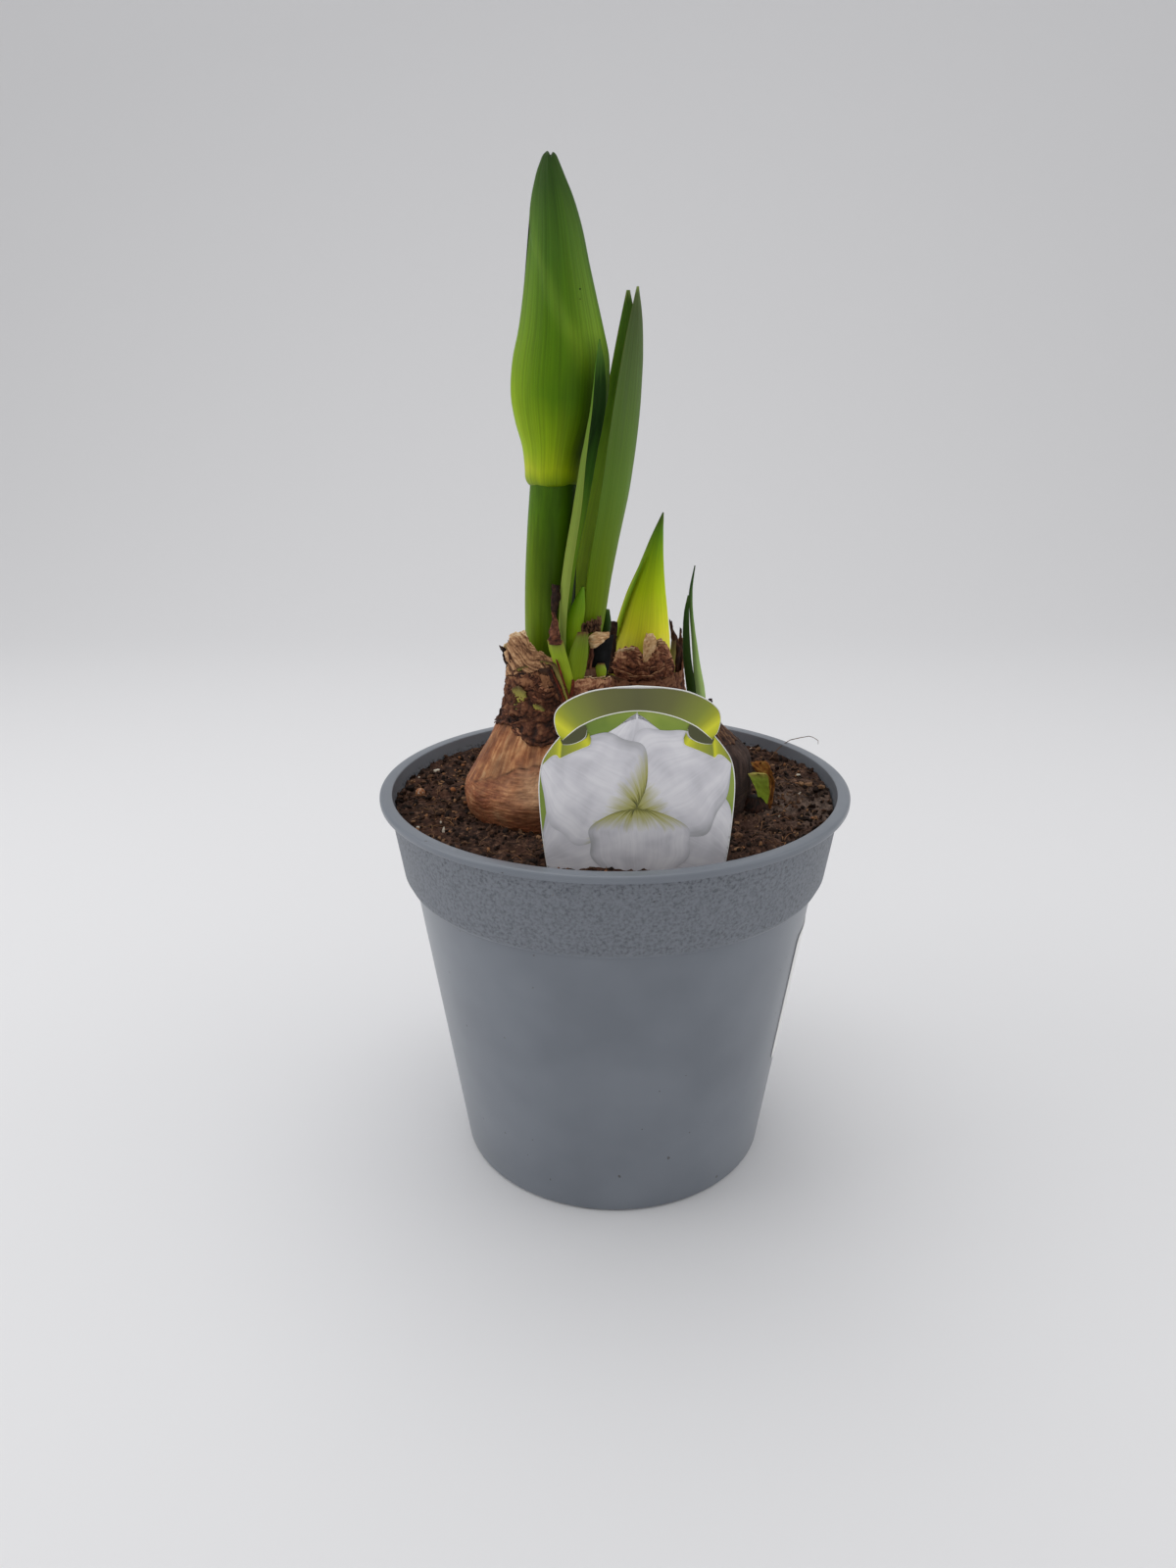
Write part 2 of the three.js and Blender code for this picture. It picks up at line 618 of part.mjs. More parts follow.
// The soil: fills the pot to a little under the rim. Its top is crumbly, with plain holes for what stands in it.
function soilGeometry(standing) {
  const [rim, collarFoot, bodyTop, floorEdge] = potInside;
  const edgeZ = SOIL_TOP_Z - 3;
  const edgeRadius = THREE.MathUtils.mapLinear(edgeZ, collarFoot[1], rim[1], collarFoot[0], rim[0]);
  const rings = [
    [floorEdge[0] - SOIL_CLEARANCE, floorEdge[1] + GAP],
    [bodyTop[0] - SOIL_CLEARANCE, bodyTop[1]],
    [collarFoot[0] - SOIL_CLEARANCE, collarFoot[1] + 0.4],
    [edgeRadius - SOIL_CLEARANCE, edgeZ],
  ];
  const sections = rings.map(([r, z]) => Array.from({ length: ROUND_SIDES }, (_, i) => {
    const angle = (i / ROUND_SIDES) * 2 * Math.PI - Math.PI / 2;
    return point(r * Math.cos(angle), r * Math.sin(angle), z);
  }));
  for (const r of [77.5, 68, 57, 44, 29, 14]) {
    sections.push(Array.from({ length: ROUND_SIDES }, (_, i) => {
      const angle = (i / ROUND_SIDES) * 2 * Math.PI - Math.PI / 2;
      const [x, y] = [r * Math.cos(angle), r * Math.sin(angle)];
      const bumps = Math.sin(x * 0.31 + y * 0.17) + Math.sin(y * 0.43 - x * 0.11 + 2)
        + 0.6 * Math.sin(x * 0.71 + y * 0.59);
      const heap = SOIL_HEAP * Math.exp(-((x - 74) ** 2 + (y - 22) ** 2) / 500);
      return point(x, y, SOIL_TOP_Z + heap + SOIL_ROUGHNESS * bumps * (1 - (r / 84) ** 4));
    }));
  }
  return cut(new LoftGeometry(sections, { capStart: true, capEnd: true }), standing);
}

const GREEN = {
  leaf: 0x4d8b24, dark: 0x3a6b2c, lime: 0xa6c42e, stalk: 0x3f8a1e, bud: 0x6fa23a, pale: 0x9db86a,
};
const DRY = { tan: 0xa98263, brown: 0x6b4430, dark: 0x3f2a22, cream: 0xd8c6a8, rust: 0x8a4a2c };
const surfaces = {
  pot: { color: 0x7c8087, roughness: 0.5 },
  soil: { color: 0x3a2a22, roughness: 1 },
  label: { color: 0xf0f0ee, roughness: 0.35 },
  sticker: { color: 0xf4f4f2, roughness: 0.5 },
  bulb: { color: 0x8d5f42, roughness: 0.7 },
  root: { color: 0xd9cfb4, roughness: 0.8 },
};
const plant = new THREE.Group();
function add(name, geometry, { color, roughness = 0.6 }) {
  const mesh = new THREE.Mesh(geometry, new THREE.MeshStandardMaterial({ color, roughness, metalness: 0 }));
  mesh.name = name;
  plant.add(mesh);
}

const leafColours = {
  leaf_narrow: GREEN.leaf,
  leaf_rear: GREEN.dark,
  leaf_wide: GREEN.dark,
  leaf_lime: GREEN.lime,
  leaf_thin_left: GREEN.dark,
  leaf_thin_right: GREEN.leaf,
  scale_back_edge: GREEN.pale,
};
const sockets = {
  left: ['leaf_narrow', 'leaf_rear', 'leaf_wide', 'scale_front_left', 'scale_front_right', 'scale_front_stub'],
  back: ['leaf_lime', 'scale_back_stub', 'scale_back_right', 'scale_back_edge'],
  right: ['leaf_thin_left', 'leaf_thin_right'],
};
const grownStalk = stackedBody(
  stalkStations.map(([z, x, y, rx, ry]) => [z, x, y, rx + GAP, ry + GAP]),
  SOCKET_SIDES,
);
grownStalk.translate(0, 0, -GAP);
const grownOffset = stackedBody(offsetStations.map(([z, x, y, r]) => [z, x, y, r + GAP, r + GAP]), 12);
const grownSkin = stackedBody([[126, ...OFFSET_CENTRE, 8.8, 8.8], [172, ...OFFSET_CENTRE, 8.8, 8.8]], 20);

add('pot', potGeometry(), surfaces.pot);
add('pot_sticker', stickerGeometry(), surfaces.sticker);
for (const [side, stations] of Object.entries(bulbs)) {
  const cutters = sockets[side].map((name) => {
    const socket = leafGeometry({ ...leaves[name], grow: GAP });
    socket.translate(0, 0, -GAP);
    return socket;
  });
  if (side === 'left') cutters.push(grownStalk);
  if (side === 'right') cutters.push(grownSkin);
  add(`bulb_${side}`, cut(bulbBody(stations), cutters), surfaces.bulb);
  add(`roots_${side}`, geometryOf(rootTuft(...rootTufts[side])), surfaces.root);
}
add('flower_stalk', stackedBody(stalkStations, SOCKET_SIDES), { color: GREEN.stalk });
add('flower_bud', stackedBody(budStations, 20, keeled), { color: GREEN.bud });
for (const [name, shape] of Object.entries(leaves)) {
  add(name, leafGeometry(shape), { color: leafColours[name] ?? GREEN.lime });
}
const dryColours = { tunic_left_collar: DRY.tan, tunic_left_fringe: DRY.brown, tunic_back_curl: DRY.cream };
for (const [name, shape] of Object.entries(sheaths)) {
  add(name, sheathGeometry(shape), { color: dryColours[name] ?? DRY.brown, roughness: 0.8 });
}
for (const [name, shape] of Object.entries(scraps)) {
  const color = name === 'tunic_back_chip' ? DRY.cream : DRY.rust;
  add(name, leafGeometry(shape), { color, roughness: 0.8 });
}
add('offset_bulb', stackedBody(offsetStations, 12), { color: DRY.dark });
add('offset_scale', sheathGeometry(offsetSheaths.offset_scale), { color: GREEN.lime });
add('offset_skin', sheathGeometry(offsetSheaths.offset_skin), { color: DRY.rust });
add('plant_label', labelGeometry(), surfaces.label);

add('soil', soilGeometry([
  ...Object.values(bulbs).map((stations) => bulbBody(stations, GAP)),
  grownOffset,
  grownSkin,
  labelGeometry(GAP),
  ...Object.values(rootTufts).map((tuft) => geometryOf(rootTuft(...tuft, GAP))),
]), surfaces.soil);

export default plant;
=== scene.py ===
# A potted amaryllis on a white sweep: a grey grower's pot with soil, three bulbs, a flower bud and a label.
# It is built from the pot upwards, as it was potted. Sizes are in millimetres until a piece is finished.
import math
import random

import bmesh
import bpy
from mathutils import Matrix, Vector, noise


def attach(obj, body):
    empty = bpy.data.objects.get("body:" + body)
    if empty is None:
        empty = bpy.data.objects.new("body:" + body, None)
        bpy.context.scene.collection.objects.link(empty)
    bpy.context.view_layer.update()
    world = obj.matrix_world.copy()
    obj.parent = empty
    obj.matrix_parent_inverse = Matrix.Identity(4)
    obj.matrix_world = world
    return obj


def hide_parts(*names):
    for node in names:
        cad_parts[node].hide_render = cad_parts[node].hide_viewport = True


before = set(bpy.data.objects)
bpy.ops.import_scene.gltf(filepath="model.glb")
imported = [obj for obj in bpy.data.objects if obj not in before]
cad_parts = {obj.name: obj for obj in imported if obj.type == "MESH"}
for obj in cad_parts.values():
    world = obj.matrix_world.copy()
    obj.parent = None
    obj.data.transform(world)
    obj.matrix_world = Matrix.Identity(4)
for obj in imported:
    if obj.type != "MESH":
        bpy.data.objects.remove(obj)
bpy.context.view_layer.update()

# The camera is a phone held 0.4 m from the plant, with its wide lens pitched 20 degrees down. Its place in
# metres and its turn in degrees were fitted to the pot's rim and collar and to the label.
PHONE_PLACE = (-0.00953, -0.38985, 0.28541)
PHONE_PITCH = 19.935
PHONE_ROLL = -0.277
phone = bpy.data.objects.new("phone", bpy.data.cameras.new("phone"))
phone.data.lens = 25.875
phone.data.sensor_width = 36
phone.data.clip_start = 0.02
phone.matrix_world = (Matrix.Translation(PHONE_PLACE)
                      @ Matrix.Rotation(math.radians(90 - PHONE_PITCH), 4, "X")
                      @ Matrix.Rotation(math.radians(PHONE_ROLL), 4, "Z"))
bpy.context.scene.collection.objects.link(phone)
bpy.context.scene.camera = phone
bpy.context.scene.view_settings.view_transform = "Standard"

# The sweep is one sheet of white background card, laid as the floor and curved up behind. Soft boxes light
# it from above and from both sides, as in a small photo tent.
MM = 0.001
SWEEP_HALF_WIDTH = 3000
SWEEP_LENGTH = 4600
SWEEP_FRONT = 1200
SWEEP_FLAT = 900
SWEEP_BEND = 900


def linear(colour):
    """An sRGB hex colour as linear red, green, blue and alpha."""
    parts = [int(colour[i:i + 2], 16) / 255 for i in (0, 2, 4)]
    return [c / 12.92 if c <= 0.04045 else ((c + 0.055) / 1.055) ** 2.4 for c in parts] + [1]


def add_node(tree, kind, inputs=None, stops=None, **settings):
    """A shader node with its settings, its inputs (values or sockets to link) and the stops of a colour
    ramp. Inputs go by name or number: a mix has its share at 0 and its colours at 6 and 7, and a map range
    has its value at 0, what it maps from at 1 and 2, and what it maps to at 3 and 4."""
    made = tree.nodes.new("ShaderNode" + kind)
    for name, value in settings.items():
        setattr(made, name, value)
    for name, value in (inputs or {}).items():
        if isinstance(value, bpy.types.NodeSocket):
            tree.links.new(value, made.inputs[name])
        else:
            made.inputs[name].default_value = value
    if stops:
        ramp = made.color_ramp
        while len(ramp.elements) < len(stops):
            ramp.elements.new(0.5)
        for element, (place, colour) in zip(ramp.elements, stops):
            element.position = place
            element.color = linear(colour) if isinstance(colour, str) else (colour, colour, colour, 1)
    return made


def new_material(name, **surface):
    """An empty material with a principled shader, whose plain values are set on its own sockets."""
    made = bpy.data.materials.new(name)
    made.use_nodes = True
    tree = made.node_tree
    tree.nodes.clear()
    shader = add_node(tree, "BsdfPrincipled", surface)
    add_node(tree, "OutputMaterial", {"Surface": shader.outputs[0]})
    return made, tree, shader


def new_piece(name, mesh, material, slot=None, replaces=(), smooth=True):
    """An object of the finished mesh, brought from millimetres to metres, that rides on the part."""
    bmesh.ops.scale(mesh, vec=(MM, MM, MM), verts=mesh.verts)
    data = bpy.data.meshes.new(name)
    mesh.to_mesh(data)
    mesh.free()
    for face in data.polygons:
        face.use_smooth = smooth
    data.materials.append(material)
    made = bpy.data.objects.new(name, data)
    bpy.context.scene.collection.objects.link(made)
    if slot:
        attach(made, "root")
    if replaces:
        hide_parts(*replaces)
    return made


# Uncoated card is matt, a little off white, and even all over: it gives the eye nothing but the soft shadow.
card, tree, shader = new_material("white background card", Roughness=0.85)
shader.inputs["Base Color"].default_value = linear("e9e9eb")
sweep = bmesh.new()
bmesh.ops.create_grid(sweep, x_segments=1, y_segments=80, size=1)
for vert in sweep.verts:
    back = (vert.co.y + 1) / 2 * SWEEP_LENGTH - SWEEP_FRONT
    turn = min(max((back - SWEEP_FLAT) / SWEEP_BEND, 0), math.pi / 2)
    rise = max(back - SWEEP_FLAT - SWEEP_BEND * math.pi / 2, 0)
    vert.co = (vert.co.x * SWEEP_HALF_WIDTH, min(back, SWEEP_FLAT) + SWEEP_BEND * math.sin(turn),
               SWEEP_BEND * (1 - math.cos(turn)) + rise)
new_piece("background_card", sweep, card)

world = bpy.data.worlds.new("tent")
world.use_nodes = True
world.node_tree.nodes["Background"].inputs["Color"].default_value = linear("f6f6f6")
world.node_tree.nodes["Background"].inputs["Strength"].default_value = 0.66
bpy.context.scene.world = world
for name, place, aim, width, power in (
        ("box_above", (-150, 250, 1150), (0, 60, 100), 1100, 3.9),
        ("box_left", (-1000, -150, 620), (0, 0, 180), 700, 2.4),
        ("box_right", (1000, -50, 560), (0, 0, 150), 700, 1.3)):
    box = bpy.data.objects.new(name, bpy.data.lights.new(name, "AREA"))
    box.data.shape = "SQUARE"
    box.data.size = width * MM
    box.data.energy = power
    box.location = Vector(place) * MM
    box.rotation_euler = (Vector(aim) - Vector(place)).to_track_quat("-Z", "Y").to_euler()
    bpy.context.scene.collection.objects.link(box)

# The pot is polypropylene, injection moulded in grey: a smooth tapered wall, a collar etched with a fine
# grain, and a flat flange for a rim. Its floor is raised on a foot ring and has drain holes. Each corner of
# its outline is a radius and a height.
POT_OUTSIDE = [(57.4, 0), (58.4, 1.2), (74.1, 112.4), (76.3, 113.3), (77.8, 116.4), (81.75, 142.6),
               (84.5, 142.6), (85, 143.2), (85, 144.8), (84.4, 145.4)]
POT_INSIDE = [(80.5, 145.4), (76.5, 116.4), (72.8, 112.4), (57.1, 4.6)]
FOOT_RING_INSIDE = 50.9
FLOOR_UNDERSIDE = 3
FLOOR_TOP = POT_INSIDE[-1][1]
MOULD_ROUNDING = 0.4
SHARP_TURN = 0.45
HOLES = 8
HOLE_RING = 38
HOLE_RADIUS = 5
pot = bmesh.new()
under = [(0, FLOOR_UNDERSIDE), (FOOT_RING_INSIDE, FLOOR_UNDERSIDE), (FOOT_RING_INSIDE, 0)]
outline = under + POT_OUTSIDE + POT_INSIDE + [(0, FLOOR_TOP)]
line = [pot.verts.new((r, 0, z)) for r, z in outline]
for a, b in zip(line, line[1:]):
    pot.edges.new((a, b))
bmesh.ops.spin(pot, geom=pot.verts[:] + pot.edges[:], axis=(0, 0, 1), cent=(0, 0, 0), angle=math.tau,
               steps=192, use_merge=True)
bmesh.ops.remove_doubles(pot, verts=pot.verts, dist=0.001)
bmesh.ops.recalc_face_normals(pot, faces=pot.faces)
corners = [e for e in pot.edges if len(e.link_faces) == 2 and e.calc_face_angle(0) > SHARP_TURN
           and abs(e.verts[0].co.z - e.verts[1].co.z) < 0.01 and e.verts[0].co.z > -0.01]
bmesh.ops.bevel(pot, geom=corners, affect="EDGES", offset=MOULD_ROUNDING, segments=3, profile=0.5,
                material=-1)

# Moulded against polished steel, the wall is satin, with a faint cloud where the plastic flowed. The etched
# collar is matt, and painted shade darkens its pits.
moulded, tree, shader = new_material("polypropylene, moulded grey", **{"Specular IOR Level": 0.5})
where = add_node(tree, "TexCoord").outputs["Object"]
height = add_node(tree, "SeparateXYZ", {0: where}).outputs["Z"]
up_collar = add_node(tree, "MapRange", {0: height, 1: 0.1120, 2: 0.1460}).outputs[0]
collar = add_node(tree, "ValToRGB", {0: up_collar},
                  [(0, 0.0), (0.04, 0.0), (0.08, 1.0), (0.86, 1.0), (0.885, 0.0)]).outputs[0]
# the etched grain is about 0.7 mm; it is drawn at 1.1 mm so that it shows from here
grain = add_node(tree, "TexNoise", {"Vector": where, "Scale": 900, "Detail": 2, "Roughness": 0.6}).outputs[0]
pits = add_node(tree, "ValToRGB", {0: grain}, [(0.30, 1.0), (0.42, 0.0)]).outputs[0]
# the grain reads darker just under the rim and along the step, where it turns from the light
shade = add_node(tree, "ValToRGB", {0: up_collar},
                 [(0.05, 1.0), (0.2, 0.25), (0.62, 0.3), (0.84, 1.0)]).outputs[0]
shade = add_node(tree, "Math", {0: shade, 1: collar}, operation="MULTIPLY").outputs[0]
# painted shade in the pits of the grain
painted_pit_shade = add_node(tree, "Math", {0: pits, 1: shade}, operation="MULTIPLY").outputs[0]
# the flow cloud is about 36 mm across
cloud = add_node(tree, "TexNoise", {"Vector": where, "Scale": 28, "Detail": 3}).outputs[0]
smooth_wall = add_node(tree, "ValToRGB", {0: cloud}, [(0.35, "6e747d"), (0.65, "777d86")]).outputs[0]
etched = add_node(tree, "ValToRGB", {0: grain}, [(0.32, "5f646c"), (0.6, "777c84")]).outputs[0]
colour = add_node(tree, "Mix", {0: collar, 6: smooth_wall, 7: etched}, data_type="RGBA").outputs[2]
colour = add_node(tree, "Mix", {0: painted_pit_shade, 6: colour, 7: linear("4b4f57")}, data_type="RGBA").outputs[2]
# a few specks of soil dust, half a millimetre wide
speck = add_node(tree, "TexNoise", {"Vector": where, "Scale": 520, "Detail": 0}).outputs[0]
speck = add_node(tree, "ValToRGB", {0: speck}, [(0.86, 0.0), (0.88, 0.7)]).outputs[0]
colour = add_node(tree, "Mix", {0: speck, 6: colour, 7: linear("3a3433")}, data_type="RGBA").outputs[2]
tree.links.new(colour, shader.inputs["Base Color"])
gloss = add_node(tree, "MapRange", {0: collar, 3: 0.3, 4: 0.56}).outputs[0]
tree.links.new(gloss, shader.inputs["Roughness"])
# the wall has sunk a little in waves 22 mm long
wave = add_node(tree, "TexNoise", {"Vector": where, "Scale": 45, "Detail": 1}).outputs[0]
sunk = add_node(tree, "Bump", {"Height": wave, "Strength": 0.12, "Distance": 0.002}).outputs[0]
etching = add_node(tree, "Math", {0: collar, 1: 0.5}, operation="MULTIPLY").outputs[0]
relief = add_node(tree, "Bump", {"Height": grain, "Strength": etching, "Distance": 0.0004, "Normal": sunk})
tree.links.new(relief.outputs[0], shader.inputs["Normal"])
pot_piece = new_piece("pot_moulding", pot, moulded, "pot_plastic", ["pot"])
drill = bmesh.new()
for i in range(HOLES):
    angle = (i + 0.5) / HOLES * math.tau
    place = Matrix.Translation((HOLE_RING * math.cos(angle), HOLE_RING * math.sin(angle), 0))
    bmesh.ops.create_cone(drill, cap_ends=True, segments=32, radius1=HOLE_RADIUS, radius2=HOLE_RADIUS,
                          depth=20, matrix=place)
drill_piece = new_piece("drill", drill, moulded)
holes = pot_piece.modifiers.new("drain holes", "BOOLEAN")
holes.operation = "DIFFERENCE"
holes.object = drill_piece
bored = bpy.data.meshes.new_from_object(pot_piece.evaluated_get(bpy.context.evaluated_depsgraph_get()))
pot_piece.modifiers.clear()
pot_piece.data = bored
bpy.data.objects.remove(drill_piece)
pot_piece.data.set_sharp_from_angle(angle=math.radians(35))

# The sticker is a thin plastic film, printed with plain bars and pressed on the pot's right side. Its
# corners are cut round, and the upper one in front has come a little loose.
STICKER_MIDDLE = 7.5
STICKER_HALF_TURN = 32.5
STICKER_HALF_WIDTH = 37.5
STICKER_LEVEL = 70
STICKER_HALF_HEIGHT = 27
STICKER_CORNER = 3
STICKER_BARS = 58.0


def new_grid(across, up):
    """A flat grid from -1 to 1 each way, with its UV map, to be bent into a piece."""
    grid = bmesh.new()
    grid.loops.layers.uv.new("UVMap")
    bmesh.ops.create_grid(grid, x_segments=across, y_segments=up, size=1, calc_uvs=True)
    return grid


sticker = new_grid(72, 24)
(low_r, low_z), (high_r, high_z) = POT_OUTSIDE[1:3]
for vert in sticker.verts:
    azimuth = math.radians(STICKER_MIDDLE + STICKER_HALF_TURN * vert.co.x)
    inset = max(STICKER_CORNER - STICKER_HALF_WIDTH * (1 - abs(vert.co.x)), 0)
    corner = math.sqrt(STICKER_CORNER ** 2 - inset * inset)
    z = STICKER_LEVEL + (STICKER_HALF_HEIGHT - STICKER_CORNER + corner) * vert.co.y
    r = low_r + (high_r - low_r) / (high_z - low_z) * (z - low_z) + 0.06
    lift = 0.5 * max(0, -vert.co.x - 0.9) * max(0, vert.co.y)
    vert.co = ((r + lift) * math.cos(azimuth), (r + lift) * math.sin(azimuth), z)

# Coated label film has an even satin shine, on which the ink lies flat and sharp.
film, tree, shader = new_material("white label film, printed", Roughness=0.35)
place = add_node(tree, "SeparateXYZ", {0: add_node(tree, "UVMap").outputs[0]})
row = add_node(tree, "Math", {0: place.outputs["Y"], 1: STICKER_BARS}, operation="MULTIPLY").outputs[0]
row = add_node(tree, "Math", {0: row}, operation="FLOOR").outputs[0]
bar = add_node(tree, "TexWhiteNoise", {"W": row}, noise_dimensions="1D").outputs[0]
bar = add_node(tree, "Math", {0: bar, 1: 0.55}, operation="GREATER_THAN").outputs[0]
reach = add_node(tree, "Math", {0: place.outputs["X"], 1: 0.3, 2: 0.11}, operation="COMPARE").outputs[0]
span = add_node(tree, "Math", {0: place.outputs["Y"], 1: 0.62, 2: 0.3}, operation="COMPARE").outputs[0]
block = add_node(tree, "Math", {0: reach, 1: span}, operation="MULTIPLY").outputs[0]
ink = add_node(tree, "Math", {0: block, 1: bar}, operation="MULTIPLY").outputs[0]
colour = add_node(tree, "Mix", {0: ink, 6: linear("f1f1ef"), 7: linear("34353a")},
                  data_type="RGBA").outputs[2]
tree.links.new(colour, shader.inputs["Base Color"])
sticker_piece = new_piece("sticker_film", sticker, film, "sticker_film", ["pot_sticker"])
thick = sticker_piece.modifiers.new("film", "SOLIDIFY")
thick.thickness = 0.25 * MM
thick.offset = 1

# The soil is damp peat, filled loosely to 5 mm under the rim. It has settled in low mounds and breaks into
# crumbs 2 to 4 mm wide. It is pushed down a little in front of the label and heaped at the right.
SOIL_TOP = 140.2
SOIL_RADIUS = 79.2
SOIL_SIDE = [(78.6, 136.5), (76.0, 116.6), (72.4, 112.4), (56.7, 5)]


def soil_height(x, y):
    """The height of the soil's surface."""
    mound = math.sin(x * 0.1 + y * 0.17) + math.sin(y * 0.13 - x * 0.11 + 2)
    heap = 2 * math.exp(-((x - 74) ** 2 + (y - 22) ** 2) / 500)
    ground = SOIL_TOP + heap + 0.5 * mound * (1 - (math.hypot(x, y) / 84) ** 4)
    ground -= 3.8 * min(max((-57 - y) / 4, 0), 1) * min(max((35 - abs(x - 5.7)) / 5, 0), 1)
    place = Vector((x, y, 0))
    crumbs = noise.fractal(place * 0.28, 0.7, 2.1, 5)
    lumps = noise.voronoi(place * 0.42 + Vector((crumbs, crumbs, 0)))[0][0]
    return ground + 1.1 * crumbs + 0.9 * (0.45 - lumps)


soil = bmesh.new()
dusty = soil.verts.layers.float.new("dusty")
bmesh.ops.create_grid(soil, x_segments=460, y_segments=105, size=1)
for vert in soil.verts:
    angle = vert.co.x * math.pi
    r = SOIL_RADIUS * (1 - (vert.co.y + 1) / 2) ** 0.85 + 0.02
    x, y = r * math.cos(angle), r * math.sin(angle)
    vert.co = (x, y, soil_height(x, y))
    # dry dust lies in patches at the right
    spotty = min(max(0.75 + 0.9 * noise.fractal(Vector((x / 9, y / 9, 4)), 0.8, 2.0, 3), 0.2), 1.2)
    vert[dusty] = 0.62 * spotty * math.exp(-((x - 67) ** 2 + (y + 14) ** 2) / 380)
bmesh.ops.remove_doubles(soil, verts=soil.verts, dist=0.03)
rim_edges = [e for e in soil.edges if e.is_boundary and e.verts[0].co.xy.length > 40]
for r, z in SOIL_SIDE:
    ring = bmesh.ops.extrude_edge_only(soil, edges=rim_edges)["geom"]
    for vert in (g for g in ring if isinstance(g, bmesh.types.BMVert)):
        vert.co = Vector((vert.co.x, vert.co.y, 0)).normalized() * r + Vector((0, 0, z))
    rim_edges = [g for g in ring if isinstance(g, bmesh.types.BMEdge)]
bmesh.ops.contextual_create(soil, geom=rim_edges)
bmesh.ops.recalc_face_normals(soil, faces=soil.faces)

# Damp crumbled peat is dead matt, and painted shade makes it nearly black in its hollows. Redder and paler
# crumbs about 2.4 mm wide lie on top. Where it has dried it is dusty grey.
peat, tree, shader = new_material("peat, damp and crumbled", Roughness=0.95, **{"Specular IOR Level": 0.15})
where = add_node(tree, "TexCoord").outputs["Object"]
crumb = add_node(tree, "TexNoise",
                 {"Vector": where, "Scale": 420, "Detail": 4, "Roughness": 0.75}).outputs[0]
patch = add_node(tree, "TexNoise", {"Vector": where, "Scale": 60, "Detail": 2}).outputs[0]
# painted shade: the low places of the crumb noise, the hollows of its relief, are nearly black
colour = add_node(tree, "ValToRGB", {0: crumb},
                  [(0.33, "1e1512"), (0.5, "3d2b23"), (0.6, "5b4235"), (0.72, "8a6c58")]).outputs[0]
red = add_node(tree, "ValToRGB", {0: patch}, [(0.5, 0.0), (0.68, 0.45)]).outputs[0]
colour = add_node(tree, "Mix", {0: red, 6: colour, 7: linear("4d3024")}, data_type="RGBA").outputs[2]
dust = add_node(tree, "ValToRGB", {0: crumb}, [(0.35, "3c302b"), (0.65, "8a7a70")]).outputs[0]
dusty = add_node(tree, "Attribute", attribute_name="dusty").outputs["Fac"]
colour = add_node(tree, "Mix", {0: dusty, 6: colour, 7: dust}, data_type="RGBA").outputs[2]
tree.links.new(colour, shader.inputs["Base Color"])
relief = add_node(tree, "Bump", {"Height": crumb, "Strength": 0.9, "Distance": 0.0012})
tree.links.new(relief.outputs[0], shader.inputs["Normal"])
new_piece("soil_fill", soil, peat, "soil_peat", ["soil"])

# Loose on the soil lie crumbs of peat, bark and perlite, and fibres of root. They keep clear of the bulbs
# and the offset, each given by its place and reach. A crumb is a lump of 20 faces. A pellet and a paler
# grain lie at the left.
STANDING = [(-25.4, -11.5, 25), (6, 39, 25.5), (26, -8.5, 20.5), (49.3, -16.5, 4)]
PELLETS = [(-71.4, 0.1, 1.9, 0.9), (-59.8, 3.7, 1.1, 0.86)]
random.seed(11)
# vector noise goes by the clock until it is seeded
noise.seed_set(11)
crumbs = bmesh.new()
crumbs.verts.layers.float.new("tone")
for batch in range(30):
    heap = bmesh.new()
    tone = heap.verts.layers.float.new("tone")
    for i in range(140):
        angle, r = random.uniform(0, math.tau), 79 * math.sqrt(random.random())
        x, y = r * math.cos(angle), r * math.sin(angle)
        if any(math.hypot(x - cx, y - cy) < reach for cx, cy, reach in STANDING):
            continue
        size = random.uniform(0.35, 0.8) if random.random() < 0.86 else random.uniform(0.8, 1.5)
        shade = random.random() ** 2.6 * 0.8 if random.random() < 0.985 else 1
        tilt = random.uniform(0, math.tau)
        axis = Vector((random.random(), random.random(), 0.4)).normalized()
        place = Matrix.Translation((x, y, soil_height(x, y) + size * 0.15)) @ Matrix.Rotation(tilt, 4, axis)
        shape = Matrix.Diagonal((1.5, 1, random.uniform(0.5, 0.9), 1))
        lump = bmesh.ops.create_icosphere(heap, subdivisions=1, radius=size, matrix=place @ shape)
        for vert in lump["verts"]:
            vert[tone] = shade
            vert.co += noise.noise_vector(vert.co * 0.9) * size * 0.4
    data = bpy.data.meshes.new("heap")
    heap.to_mesh(data)
    heap.free()
    crumbs.from_mesh(data)
    bpy.data.meshes.remove(data)
tone = crumbs.verts.layers.float["tone"]
for x, y, size, shade in PELLETS:
    place = Matrix.Translation((x, y, soil_height(x, y) + size * 0.5))
    lump = bmesh.ops.create_icosphere(crumbs, subdivisions=3, radius=size, matrix=place)
    for vert in lump["verts"]:
        vert[tone] = shade

# Bark is red brown, peat is darker and perlite is chalky white. All are matt, with a grit of 0.7 mm.
loose, tree, shader = new_material("crumbs of peat, bark and grit", Roughness=0.9,
                                   **{"Specular IOR Level": 0.2})
kind = add_node(tree, "Attribute", attribute_name="tone").outputs["Fac"]
where = add_node(tree, "TexCoord").outputs["Object"]
grit = add_node(tree, "TexNoise", {"Vector": where, "Scale": 1500, "Detail": 2}).outputs[0]
shift = add_node(tree, "MapRange", {0: grit, 3: -0.12, 4: 0.12}).outputs[0]
shift = add_node(tree, "Math", {0: kind, 1: shift}, operation="ADD").outputs[0]
colour = add_node(tree, "ValToRGB", {0: shift},
                  [(0.0, "1d1410"), (0.25, "3a271d"), (0.45, "5c4131"), (0.62, "8a6a4e"), (0.82, "96603c"),
                   (0.9, "96603c"), (0.96, "cfc6b6")]).outputs[0]
